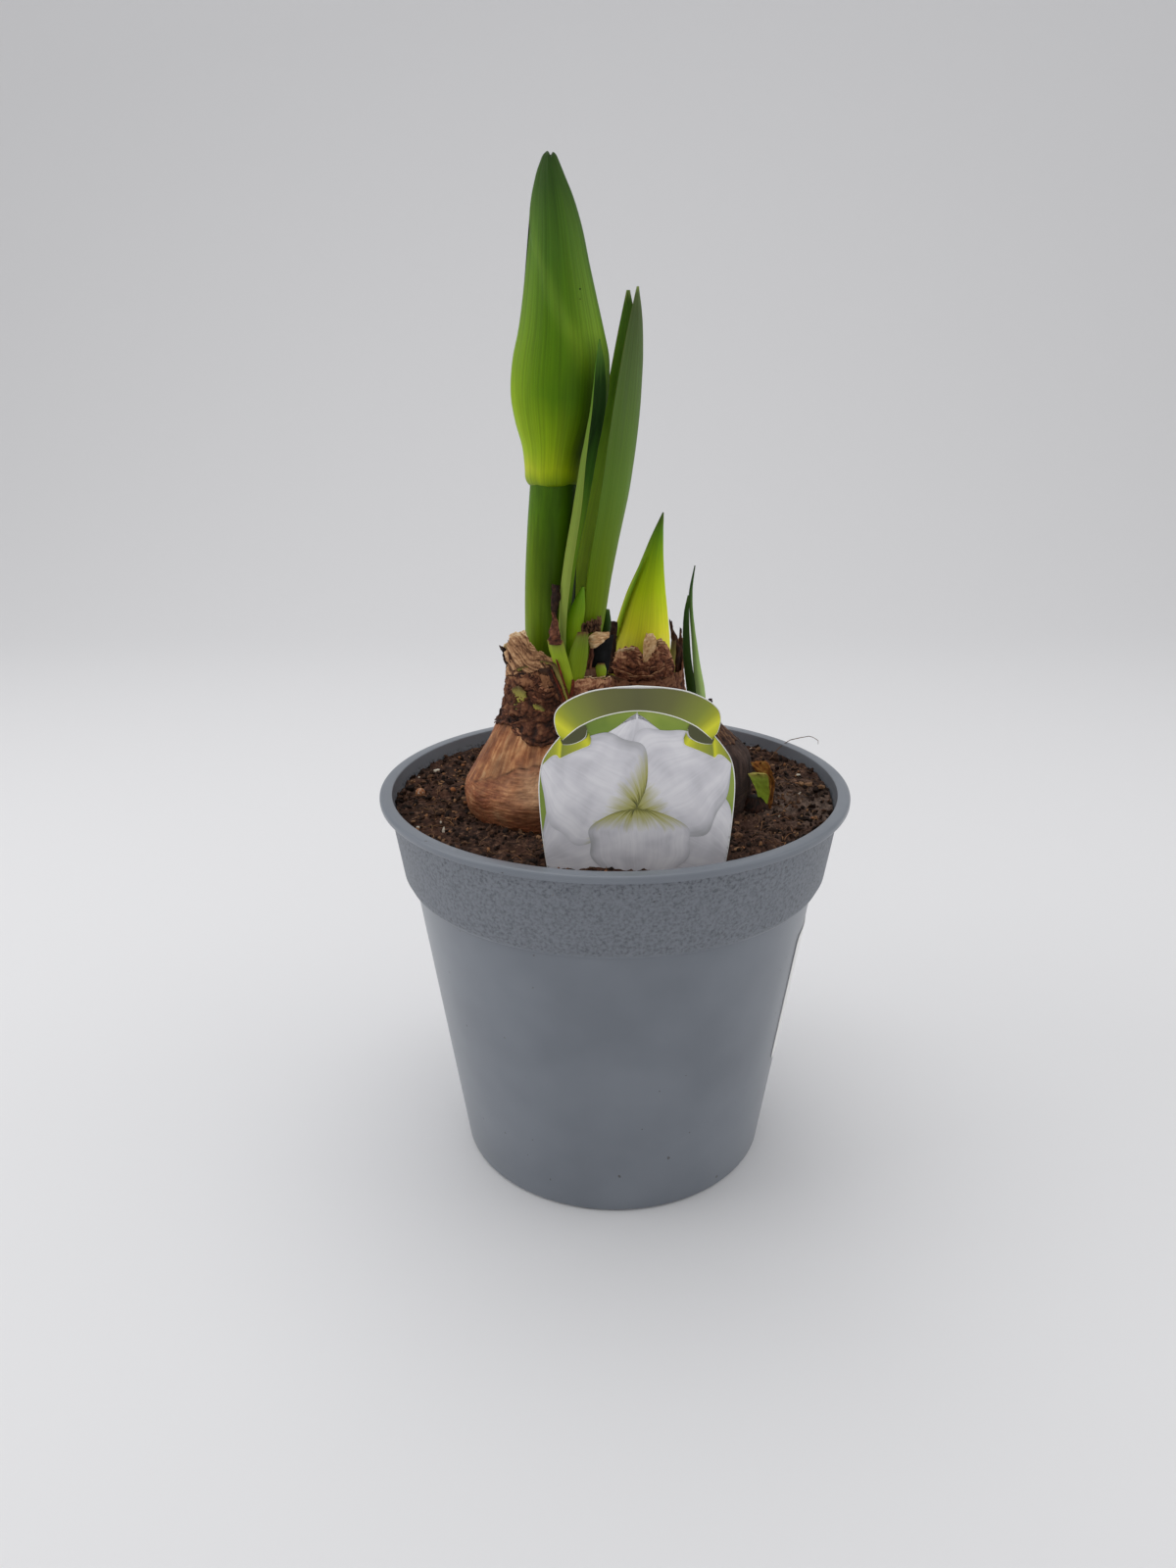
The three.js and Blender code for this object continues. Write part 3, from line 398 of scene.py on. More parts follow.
tree.links.new(colour, shader.inputs["Base Color"])
relief = add_node(tree, "Bump", {"Height": grit, "Strength": 0.6, "Distance": 0.0003})
tree.links.new(relief.outputs[0], shader.inputs["Normal"])
new_piece("soil_crumbs", crumbs, loose, "soil_peat", smooth=False)

LONG_FIBRE = [(62, 33, 140.6), (66, 40, 143.4), (71.7, 44.6, 146.2), (76.6, 45, 147.2), (80.8, 46, 147.6),
              (83, 41.5, 147.2), (82.2, 37.5, 146.8)]
FIBRE_KNOTS = 6
fibres = bmesh.new()
tone = fibres.verts.layers.float.new("tone")


def along_path(points, t):
    """A point at t, from 0 to 1, on the straight-sided path."""
    place = min(t, 0.9999) * (len(points) - 1)
    i = int(place)
    return points[i].lerp(points[i + 1], place - i)


def lay_fibre(points, thick, shade):
    """A fibre along the points, round in section, with the tone it takes."""
    grid = bmesh.ops.create_grid(fibres, x_segments=3, y_segments=len(points) * 2, size=1)
    for vert in grid["verts"]:
        v = (vert.co.y + 1) / 2
        around = (vert.co.x + 1) * math.pi
        width = thick * (1 - 0.6 * v) + 0.02
        off = Vector((math.cos(around) * width, math.cos(around) * width * 0.4, math.sin(around) * width))
        vert.co = along_path(points, v) + off
        vert[tone] = shade


for i in range(420):
    angle, r = random.uniform(0, math.tau), 76 * math.sqrt(random.random())
    x, y = r * math.cos(angle), r * math.sin(angle)
    heading, bend, step = random.uniform(0, math.tau), random.uniform(-0.5, 0.5), random.uniform(0.6, 1.7)
    if any(math.hypot(x - cx, y - cy) < reach + 3 for cx, cy, reach in STANDING):
        continue
    path = []
    for j in range(FIBRE_KNOTS):
        path.append(Vector((x, y, soil_height(x, y) + 0.5 + 0.5 * math.sin(j))))
        heading += bend
        x, y = x + step * math.cos(heading), y + step * math.sin(heading)
    lay_fibre(path, random.uniform(0.1, 0.22), random.choice((0.3, 0.5, 0.58, 0.62, 0.7)))
lay_fibre([Vector(p) for p in LONG_FIBRE], 0.24, 0.5)
bmesh.ops.remove_doubles(fibres, verts=fibres.verts, dist=0.01)
new_piece("soil_fibres", fibres, loose, "soil_peat")

# The bulbs are squat bodies of fleshy scales in a dry skin, half out of the soil. The outer skin has torn
# off along a ragged crease, and what is under it is redder and shrunk into fine level wrinkles. A row of a
# bulb is a height, the centre there and the two radii. A crease is a height by bearing.
LEFT_BULB = [(108, -24, -11, 9, 9), (112, -24, -11, 15.5, 15.5), (120, -24.5, -11, 21.4, 21.4),
             (130, -25.2, -11, 24, 24), (137, -25.4, -11, 24.8, 24.4), (142, -25.4, -11.4, 27.2, 26),
             (147, -25.4, -11.6, 28, 27.4), (151, -25.2, -11.8, 27.6, 27.2), (157, -24.4, -11.6, 24.6, 24.4),
             (164, -23.6, -11, 21.4, 21), (170, -22.8, -10.6, 19, 18.2), (175, -21.6, -10.2, 17.2, 15.4),
             (181, -20.8, -10, 16.4, 14.2), (187, -20.5, -10, 16, 14), (192, -20.5, -10, 15, 13.4)]
BACK_BULB = [(108, 7, 39, 8.5, 8.5), (112, 7, 39, 15, 15), (120, 6.6, 39, 22, 22),
             (130, 6.2, 39, 25.4, 25.4), (138, 6, 39, 26.6, 26.4), (145, 6, 39, 27, 26.8),
             (152, 6.2, 38.8, 26.2, 26), (159, 6.8, 38, 24, 23), (166, 7.4, 37, 21, 19),
             (172, 7.8, 36.2, 19, 15.4), (178, 7.8, 36, 18.4, 13.8)]
RIGHT_BULB = [(108, 26, -8.5, 8, 8), (112, 26, -8.5, 13, 13), (120, 26, -8.5, 18.6, 18.6),
              (131, 26, -8.5, 21.2, 21.2), (140, 26, -8.5, 22.2, 22.2), (147, 26, -8.5, 22.3, 22.2),
              (154, 26.4, -8.5, 21.7, 21.4), (159.5, 26.8, -8.4, 20, 19.2), (163, 27.3, -8.2, 16.6, 15.8),
              (166, 27.8, -8, 12.4, 11.6), (168.6, 28.2, -8, 8.8, 8.4), (171.5, 28.4, -8, 7.2, 7),
              (175.6, 28.6, -8, 6.4, 6.4)]
CREASE = {"left": [(-180, 152.5), (-148, 154.5), (-138, 157), (-122, 159), (-115, 161), (-97, 163),
                   (-60, 160), (0, 156), (60, 158), (120, 154), (180, 152.5)],
          "back": [(-180, 158), (-90, 151), (0, 155), (90, 149), (180, 158)],
          "right": [(-180, 149), (-90, 153), (0, 147), (90, 155), (180, 149)]}


def spread(knots, t):
    """A smooth value at t, from 0 to 1, through evenly spaced knots, which are numbers or tuples."""
    place = min(max(t, 0), 1) * (len(knots) - 1)
    i = min(int(place), len(knots) - 2)
    t = place - i
    near = [Vector(k) if isinstance(k, tuple) else k for k in knots[max(i - 1, 0):i + 3]]
    if i == 0:
        near.insert(0, near[0] * 2 - near[1])
    if i + 2 == len(knots):
        near.append(near[-1] * 2 - near[-2])
    a, b, c, d = near
    return (b * 2 + (c - a) * t + (a * 2 - b * 5 + c * 4 - d) * t * t + (b * 3 - a - c * 3 + d) * t ** 3) / 2


def between(pairs, x):
    """A straight-line value at x between pairs of (x, value) in rising order."""
    for (x0, v0), (x1, v1) in zip(pairs, pairs[1:]):
        if x <= x1:
            return v0 + (v1 - v0) * min(max((x - x0) / (x1 - x0), 0), 1)
    return pairs[-1][1]


def bump(bearing, middle, width):
    """A smooth rise of 1 at a bearing."""
    return math.exp(-((((bearing - middle + 540) % 360) - 180) / width) ** 2)


def rough(x, y, z, octaves=3):
    """Noise about -1 to 1, the same at the same place."""
    return noise.fractal(Vector((x, y, z)), 0.8, 2.0, octaves)


def folds(x, y, z, sharp=3.5):
    """Soft folds with narrow creases between them, from 0 in a crease to 1."""
    return min(abs(noise.noise(Vector((x, y, z)))) * sharp, 1)


def close_up(mesh, apart=0.002):
    """Merges the seam of a grid that was rolled up, closes its ends and points its faces outwards."""
    bmesh.ops.remove_doubles(mesh, verts=mesh.verts, dist=apart)
    bmesh.ops.holes_fill(mesh, edges=[e for e in mesh.edges if e.is_boundary], sides=0)
    bmesh.ops.recalc_face_normals(mesh, faces=mesh.faces)


def bulb_scale(name, fibre, wrinkle, dirt_shade_and_highlight, gloss):
    """A bulb's surface: mottled with lengthwise fibres above the crease, wrinkled below it, and soiled at
    its foot. Its four tints are for the foot, the smoky stains, the painted shade in the grooves and the
    painted highlight on the cheek."""
    made, tree, shader = new_material(name, **{"Specular IOR Level": 0.25, "Roughness": gloss})
    uv = add_node(tree, "UVMap").outputs[0]
    where = add_node(tree, "TexCoord").outputs["Object"]
    upper, painted_groove_shade, smoke, painted_cheek_highlight = (add_node(tree, "Attribute", attribute_name=share).outputs["Fac"]
                                   for share in ("upper", "painted_groove_shade", "smoke", "painted_cheek_highlight"))
    # the mottle is 8 mm wide; 90 fibres run up the bulb and 110 wrinkles run round it
    mottle = add_node(tree, "TexNoise",
                      {"Vector": where, "Scale": 130, "Detail": 5, "Roughness": 0.66}).outputs[0]
    lengthwise = add_node(tree, "Mapping", {"Vector": uv, "Scale": (90, 6, 1)}).outputs[0]
    veins = add_node(tree, "TexNoise",
                     {"Vector": lengthwise, "Scale": 1, "Detail": 4, "Roughness": 0.6}).outputs[0]
    round_it = add_node(tree, "Mapping", {"Vector": uv, "Scale": (14, 110, 1)}).outputs[0]
    level = add_node(tree, "TexNoise", {"Vector": round_it, "Scale": 1, "Detail": 5, "Roughness": 0.65,
                                        "Distortion": 0.8}).outputs[0]
    # the colour follows the relief: painted light on the bulges, painted shade in the wrinkles' hollows
    fibrous = add_node(tree, "Mix", {0: 0.42, 2: mottle, 3: veins}).outputs[0]
    fibrous = add_node(tree, "ValToRGB", {0: fibrous}, fibre).outputs[0]
    wrinkled = add_node(tree, "Mix", {0: 0.5, 2: mottle, 3: level}).outputs[0]
    wrinkled = add_node(tree, "ValToRGB", {0: wrinkled}, wrinkle).outputs[0]
    colour = add_node(tree, "Mix", {0: upper, 6: wrinkled, 7: fibrous}, data_type="RGBA").outputs[2]
    height = add_node(tree, "SeparateXYZ", {0: where}).outputs["Z"]
    low = add_node(tree, "MapRange", {0: height, 1: 0.151, 2: 0.1385}).outputs[0]
    patchy = add_node(tree, "ValToRGB", {0: mottle}, [(0.38, 0.1), (0.6, 1.0)]).outputs[0]
    low = add_node(tree, "Math", {0: low, 1: patchy}, operation="MULTIPLY").outputs[0]
    for share, dark in ((painted_cheek_highlight, dirt_shade_and_highlight[3]), (low, dirt_shade_and_highlight[0]), (smoke, dirt_shade_and_highlight[1]), (painted_groove_shade, dirt_shade_and_highlight[2])):
        colour = add_node(tree, "Mix", {0: share, 6: colour, 7: linear(dark)}, data_type="RGBA").outputs[2]
    tree.links.new(colour, shader.inputs["Base Color"])
    lines = add_node(tree, "Bump", {"Height": mottle, "Strength": 0.35, "Distance": 0.0007}).outputs[0]
    relief = add_node(tree, "Bump", {"Height": level, "Strength": 0.5, "Distance": 0.0006, "Normal": lines})
    tree.links.new(relief.outputs[0], shader.inputs["Normal"])
    return made


# Dried in the sun, a scale is a dull warm brown, with painted light where it bulges and painted shade
# in its wrinkles.
clean_scale = bulb_scale("bulb scale, dry skinned",
                         [(0.34, "66361e"), (0.45, "925632"), (0.55, "bc8355"), (0.67, "e0b587")],
                         [(0.34, "5b2e1b"), (0.45, "915233"), (0.55, "ba7c52"), (0.67, "deae80")],
                         ("5a3220", "43281c", "34190f", "dcb28a"), 0.6)
# Old scales that have stood in wet peat are stained nearly black and have lost their shine.
soiled_scale = bulb_scale("bulb scale, old and soiled",
                          [(0.34, "1a1110"), (0.47, "31231e"), (0.58, "4a3831"), (0.7, "69544b")],
                          [(0.34, "1a1110"), (0.47, "34241e"), (0.58, "503a30"), (0.7, "705649")],
                          ("241813", "1d1514", "140e0c", "4a3a30"), 0.8)
for side, rows, skin, around, up in (("left", LEFT_BULB, clean_scale, 320, 180),
                                     ("back", BACK_BULB, clean_scale, 160, 90),
                                     ("right", RIGHT_BULB, soiled_scale, 220, 130)):
    bulb = new_grid(around, up)
    upper, painted_groove_shade, smoke, painted_cheek_highlight = (bulb.verts.layers.float.new(share)
                                   for share in ("upper", "painted_groove_shade", "smoke", "painted_cheek_highlight"))
    for vert in bulb.verts:
        bearing = vert.co.x * 180
        z, cx, cy, rx, ry = spread(rows, (vert.co.y + 1) / 2)
        turn = math.radians(bearing)
        swell = 1 + 0.012 * math.sin(3 * turn + z * 0.05) + 0.008 * math.sin(7 * turn + 1.3)
        x, y = math.cos(turn), math.sin(turn)
        over = z - between(CREASE[side], bearing) + 0.9 * rough(x * 5, y * 5, 3)
        # the tear is sharp in front and dies away round the back
        torn = 0.12 + 0.88 * bump(bearing, -105, 75)
        step = min(max(over / (0.5 + 8 * (1 - torn)) + 0.5, 0), 1)
        wave = z + 1.6 * rough(x * 2.2, y * 2.2, z * 0.05)
        level = 0.5 * folds(x * 3 + 3, y * 3, wave * 0.7) + 0.5 * folds(x * 8, y * 8 + 2, wave * 1.6)
        tall = folds(x * 7, y * 7 + 4, z * 0.11 + 0.6 * rough(x * 2, y * 2, z * 0.05))
        fade = min(max((172 - z) / 10, 0), 1)
        lump = 0.4 * rough(x * 3.4, y * 3.4, z * 0.13, 2)
        out = 0.35 * step + lump + (0.5 * level * fade) * (1 - step) + 0.22 * tall * step
        lip = math.exp(-(over / 0.45) ** 2) * (0.65 + 0.5 * rough(x * 11, y * 11, 8)) * torn
        vert[upper] = step
        # painted shade: dark under the torn lip, in the level wrinkles and between the tall ribs
        vert[painted_groove_shade] = max(min(lip, 1), 0.5 * (1 - level) * (1 - step), 0.22 * (1 - tall) * step)
        # a painted highlight pales the bulb on its front cheek, and it is stained in patches and up its neck
        pale = bump(bearing, -88, 26) * math.exp(-((z - 156) / 8) ** 2)
        vert[painted_cheek_highlight] = pale * min(max(0.6 + 0.5 * rough(x * 6, y * 6, z * 0.22), 0), 0.8)
        stain = (1 - pale) * 0.6 * max(rough(x * 2.6, y * 2.6, z * 0.09), 0)
        stain += 0.5 * bump(bearing, -132, 9) * math.exp(-((z - 161) / 5) ** 2)
        up_neck = min(max((z - 170 + 6 * rough(x * 4, y * 4, z * 0.1)) / 8, 0), 0.85)
        vert[smoke] = max(up_neck, min(stain, 0.6))
        vert.co = (cx + (rx * swell + out) * x, cy + (ry * swell + out) * y, z)
    close_up(bulb)
    new_piece(f"bulb_{side}_body", bulb, skin, "bulb_skin", [f"bulb_{side}"])

# The roots are thick and fleshy, in a tuft that grew from the plate under each bulb. They are in the soil,
# so their solids stay. Washed root flesh is cream and satin, ringed every 2 mm where it has shrunk.
root_flesh, tree, shader = new_material("fleshy root, cream", Roughness=0.7)
where = add_node(tree, "TexCoord").outputs["Object"]
rings = add_node(tree, "TexNoise", {"Vector": where, "Scale": 500, "Detail": 3}).outputs[0]
colour = add_node(tree, "ValToRGB", {0: rings}, [(0.3, "a8926a"), (0.6, "dccfae")]).outputs[0]
tree.links.new(colour, shader.inputs["Base Color"])
relief = add_node(tree, "Bump", {"Height": rings, "Strength": 0.4, "Distance": 0.0004})
tree.links.new(relief.outputs[0], shader.inputs["Normal"])
for side in ("left", "back", "right"):
    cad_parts[f"roots_{side}"].data.materials.clear()
    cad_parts[f"roots_{side}"].data.materials.append(root_flesh)


# The leaves are straps with a shallow channel, thin at their edges, and grow from inside the necks. Green
# cut scales round them are short stout blades of the same make. A leaf is satin, with fine lengthwise
# veins, lighter on its outer side than in the channel, where painted shade darkens it, and a little light
# goes into its flesh.
def leaf_skin(name, outer, inner, gloss=0.45, vein=0.12, across=((0.0, 1.0), (1.0, 1.0)), shine=0.12):
    """A leaf's surface: colour stops from foot to tip for the outer side and for the channel, with fine
    veins, and painted light and shade that change its lightness from one margin to the other."""
    made, tree, shader = new_material(name, **{"Roughness": gloss, "Specular IOR Level": shine,
                                               "Subsurface Weight": 0.06, "Subsurface Scale": 0.001})
    uv = add_node(tree, "UVMap").outputs[0]
    place = add_node(tree, "SeparateXYZ", {0: uv})
    channel = add_node(tree, "Attribute", attribute_name="channel").outputs["Fac"]
    # about 46 veins lie side by side, and the broad drift of colour is a seventh of the leaf's width
    lengthwise = add_node(tree, "Mapping", {"Vector": uv, "Scale": (46, 1.6, 1)}).outputs[0]
    fine = add_node(tree, "TexNoise",
                    {"Vector": lengthwise, "Scale": 1, "Detail": 3, "Roughness": 0.6}).outputs[0]
    drifting = add_node(tree, "Mapping", {"Vector": uv, "Scale": (7, 2.2, 1)}).outputs[0]
    broad = add_node(tree, "TexNoise", {"Vector": drifting, "Scale": 1, "Detail": 2}).outputs[0]
    drift = add_node(tree, "MapRange", {0: broad, 3: -0.08, 4: 0.08}).outputs[0]
    up = add_node(tree, "Math", {0: place.outputs["Y"], 1: drift}, operation="ADD").outputs[0]
    outside = add_node(tree, "ValToRGB", {0: up}, outer).outputs[0]
    inside = add_node(tree, "ValToRGB", {0: up}, inner).outputs[0]
    face = add_node(tree, "Mix", {0: channel, 6: outside, 7: inside}, data_type="RGBA").outputs[2]
    striped = add_node(tree, "MapRange", {0: fine, 1: 0.35, 2: 0.65, 3: 1 - vein, 4: 1 + vein}).outputs[0]
    # painted light and shade across the leaf, from one margin to the other
    sideways = add_node(tree, "ValToRGB", {0: place.outputs["X"]}, across).outputs[0]
    light = add_node(tree, "Math", {0: striped, 1: sideways}, operation="MULTIPLY").outputs[0]
    colour = add_node(tree, "VectorMath", {0: face, "Scale": light}, operation="SCALE").outputs[0]
    tree.links.new(colour, shader.inputs["Base Color"])
    relief = add_node(tree, "Bump", {"Height": fine, "Strength": 0.25, "Distance": 0.0004})
    tree.links.new(relief.outputs[0], shader.inputs["Normal"])
    return made


def blade(name, material, slot, spine, half, bearing, fold, thick, replaces=None, around=32, up=90, cut=0.0,
          wavy=0.12):
    """A strap leaf or scale. Its level sections are arcs that face the bearing; half is half its width,
    fold half the arc's angle, cut how ragged its end is, and wavy how uneven its face."""
    mesh = new_grid(around, up)
    channel = mesh.verts.layers.float.new("channel")
    crest = mesh.verts.layers.float.new("crest")
    uv = mesh.loops.layers.uv.verify()
    for face in mesh.faces:
        for loop in face.loops:
            loop[uv].uv.x = 0.5 + 0.5 * math.cos(loop.vert.co.x * math.pi)
    for vert in mesh.verts:
        v = (vert.co.y + 1) / 2
        turn = -vert.co.x * math.pi
        side, depth = math.cos(turn), math.sin(turn)
        ragged = 1 - cut * (0.5 + rough(side * 2.1, depth * 0.4, 5)) * v ** 6
        centre = spread(spine, v * ragged)
        arc = math.radians(spread(fold, v))
        radius = max(spread(half, v), 0.12) / arc
        facing = math.radians(spread(bearing, v))
        outward = Vector((math.cos(facing), math.sin(facing), 0))
        sideways = Vector((-math.sin(facing), math.cos(facing), 0))
        bend = side * arc
        centre += sideways * radius * math.sin(bend) - outward * radius * (1 - math.cos(bend))
        wall = spread(thick, v) / 2 * (1 - 0.45 * side * side)
        ripple = wavy * rough(side * 1.5, v * 7, spine[0][0])
        vert.co = centre + (outward * math.cos(bend) + sideways * math.sin(bend)) * (depth * wall + ripple)
        vert[channel] = 1 if depth < -0.05 else 0
        vert[crest] = 0.4 + 0.35 * rough(side * 3, v * 9, spine[0][0])
    close_up(mesh, 0.004)
    return new_piece(name, mesh, material, slot, [replaces] if replaces else ())


# The narrow leaf is folded, so that its outer side is pale, and painted shade makes its channel nearly
# black in the middle.
narrow_leaf = leaf_skin("amaryllis leaf, narrow",
                        [(0.0, "8ea24a"), (0.3, "809040"), (0.62, "6c8636"), (0.85, "4d7a24"),
                         (1.0, "3c6a1c")],
                        [(0.0, "7ea030"), (0.34, "6a8e26"), (0.5, "2f5214"), (0.64, "122808"),
                         (0.8, "1c360e"), (0.9, "426424"), (1.0, "5a7c30")],
                        gloss=0.6, shine=0.03)
# The rear leaf stands in its neighbour's shade, and turns its yellowish young channel to the front;
# painted light brightens that channel low down, against the shade.
rear_leaf = leaf_skin("amaryllis leaf, rear", [(0.0, "6f9420"), (0.45, "56761a"), (1.0, "3f5a20")],
                      [(0.0, "d0f04c"), (0.3, "c4e24a"), (0.55, "92b638"), (0.75, "5e8420"),
                       (0.97, "40601a"), (1.0, "7a8a48")],
                      across=((0.0, 0.85), (0.25, 0.9), (0.6, 0.95), (0.9, 1.15), (1.0, 1.25)))
# The broad leaf is yellowish at its foot and bluish higher up, where its wax is thicker.
wide_leaf = leaf_skin("amaryllis leaf, broad",
                      [(0.0, "747f08"), (0.14, "6c8400"), (0.3, "67820f"), (0.5, "60802a"), (0.72, "566e36"),
                       (0.9, "4c5c34"), (0.975, "56663a"), (1.0, "8a9a56")],
                      [(0.0, "4c7a16"), (0.3, "2f5e14"), (1.0, "20401a")],
                      across=((0.0, 1.12), (0.15, 0.92), (0.5, 0.98), (0.85, 1.1), (1.0, 0.9)))
# The young leaf has hardly greened: its foot is lemon yellow, and only its tip is dark.
lime_leaf = leaf_skin("amaryllis leaf, young",
                      [(0.0, "fff46c"), (0.3, "e8e634"), (0.52, "b6ce10"), (0.72, "84a80c"),
                       (0.86, "5e8a14"), (1.0, "4c5c26")],
                      [(0.0, "b6cc3a"), (0.5, "6fae28"), (1.0, "3c6a24")], vein=0.09,
                      across=((0.0, 0.68), (0.14, 0.62), (0.3, 0.86), (0.55, 0.92), (0.75, 1.14),
                              (1.0, 1.25)))
# The right bulb's leaves are thin: one is deep green, and the other has a painted silvery highlight
# where it turns to the light.
thin_dark_leaf = leaf_skin("amaryllis leaf, thin and dark",
                           [(0.0, "1f3206"), (0.5, "243a0a"), (0.9, "2c4a14"), (1.0, "48602c")],
                           [(0.0, "1f3206"), (1.0, "2c4a14")])
thin_light_leaf = leaf_skin("amaryllis leaf, thin and light",
                            [(0.0, "a4bc74"), (0.3, "98b468"), (0.6, "6c8c44"), (0.9, "365826"),
                             (1.0, "2c481c")],
                            [(0.0, "4f7a24"), (1.0, "27461a")],
                            across=((0.0, 0.45), (0.3, 0.6), (0.5, 1.05), (0.8, 1.1), (1.0, 0.95)))
# Cut scales are fresh green with a brown dried edge. One stands in shade, and one is drying all over.
cut_scale = leaf_skin("green bulb scale, cut",
                      [(0.0, "a4a838"), (0.35, "98ac20"), (0.75, "8ea628"), (0.93, "8a9638"),
                       (0.98, "7d6a34"), (1.0, "6d4a30")],
                      [(0.0, "8fae4a"), (0.8, "7da040"), (1.0, "5d3f2a")], gloss=0.5)
side_scale = leaf_skin("green bulb scale, in its own shade",
                       [(0.0, "8a8e26"), (0.35, "7c9014"), (0.75, "728a1a"), (0.93, "6c7c28"),
                        (0.985, "675628"), (1.0, "5a3c26")],
                       [(0.0, "748f3c"), (0.8, "658434"), (1.0, "4c3322")], gloss=0.5)
stub_leaf = leaf_skin("amaryllis leaf, cut short", [(0.0, "96ae14"), (0.5, "7e9e10"), (1.0, "64901c")],
                      [(0.0, "74980c"), (1.0, "4c7614")])
pale_scale = leaf_skin("bulb scale, drying", [(0.0, "b7ae50"), (0.6, "8e8644"), (1.0, "5b4630")],
                       [(0.0, "8f9250"), (1.0, "4a3526")], gloss=0.6, vein=0.3)

blade("leaf_narrow_blade", narrow_leaf, "leaf_green",
      [(-18.4, -17.4, 184), (-18.3, -18, 207), (-16.9, -18.6, 225), (-13.5, -19, 245), (-10.3, -19.2, 262),
       (-7.2, -19.2, 276), (-5.9, -19, 288), (-5.3, -18.6, 295.8)],
      [5.2, 5.4, 6.4, 7.2, 6.6, 5.3, 3.2, 0.35], [172, 172, 173, 170, 163, 154, 151, 152],
      [56, 58, 60, 58, 50, 43, 34, 24], [1.6, 1.5, 1.3, 1.1, 0.9, 0.7, 0.6, 0.5], "leaf_narrow", around=44,
      up=120)
blade("leaf_rear_blade", rear_leaf, "leaf_dark",
      [(-11.4, -1.8, 184), (-11.1, -0.2, 207), (-9.6, 0.8, 225), (-5.7, 1, 245), (-2.2, 1, 262),
       (1.2, 1, 280), (3.8, 0.6, 297), (4, 0, 310.8)],
      [4.2, 5, 4.9, 4.9, 4.7, 4.2, 3.4, 0.6], [84, 84, 84, 84, 84, 86, 88, 90],
      [40, 34, 28, 26, 24, 22, 22, 20], [1.5, 1.4, 1.2, 1.1, 0.9, 0.8, 0.7, 0.6], "leaf_rear", around=44,
      up=120)
blade("leaf_wide_blade", wide_leaf, "leaf_dark",
      [(-10.2, -11.4, 184), (-5.4, -12.4, 206), (-2.3, -11.4, 228), (1.3, -10, 250), (4.5, -8.8, 276),
       (6.4, -7.6, 298), (6.8, -6.8, 311.4)],
      [4.6, 7.2, 7.5, 7.3, 6.2, 3.6, 0.5], [-28, -30, -38, -44, -48, -50, -50], [74, 66, 44, 30, 24, 22, 20],
      [1.8, 1.7, 1.5, 1.3, 1.0, 0.8, 0.6], "leaf_wide", around=44, up=120)
blade("leaf_lime_blade", lime_leaf, "leaf_lime",
      [(9.3, 25.2, 168), (9.9, 25, 186), (11.2, 25.4, 197), (12.4, 26, 209), (14.3, 26.6, 220),
       (16.2, 27, 230), (18.2, 27.4, 238.6)],
      [14, 13.5, 11, 8, 4.8, 2.4, 0.3], [-90, -90, -90, -90, -88, -84, -80], [47, 47, 44, 40, 35, 28, 20],
      [1.8, 1.7, 1.5, 1.3, 1.1, 0.9, 0.5], "leaf_lime", around=44, up=110)
blade("leaf_lime_margin", stub_leaf, "leaf_lime",
      [(-1.8, 28.2, 183), (1.6, 27.4, 195), (4.5, 26.8, 205), (8, 26.4, 214), (11.8, 26.2, 223)],
      [0.7, 1, 1, 0.8, 0.2], [-150, -148, -145, -140, -135], [30, 34, 34, 30, 20], [0.9, 0.9, 0.8, 0.7, 0.4],
      around=20, up=70)
blade("leaf_thin_left_blade", thin_dark_leaf, "leaf_dark",
      [(28.2, -8.2, 166), (26.8, -8.2, 181), (25, -8.2, 192.8), (24.4, -8.2, 202), (24.4, -8.2, 209),
       (24.8, -8.2, 215)],
      [2, 1.75, 1.55, 1.25, 0.9, 0.2], [-110] * 6, [14] * 6, [1.3, 1.2, 1.1, 1, 0.9, 0.6],
      "leaf_thin_left", around=24, up=80)
blade("leaf_thin_right_blade", thin_light_leaf, "leaf_green",
      [(31.4, -8, 166), (30.2, -8, 180), (28.5, -8, 191), (27.2, -8, 200), (26.2, -8, 208), (25.7, -8, 216),
       (26.8, -8, 225)],
      [2.2, 2.1, 1.5, 0.95, 0.75, 0.7, 0.2], [-64] * 7, [30, 30, 26, 22, 20, 20, 20],
      [1.3, 1.2, 1.1, 1, 0.9, 0.8, 0.6], "leaf_thin_right", around=24, up=90)
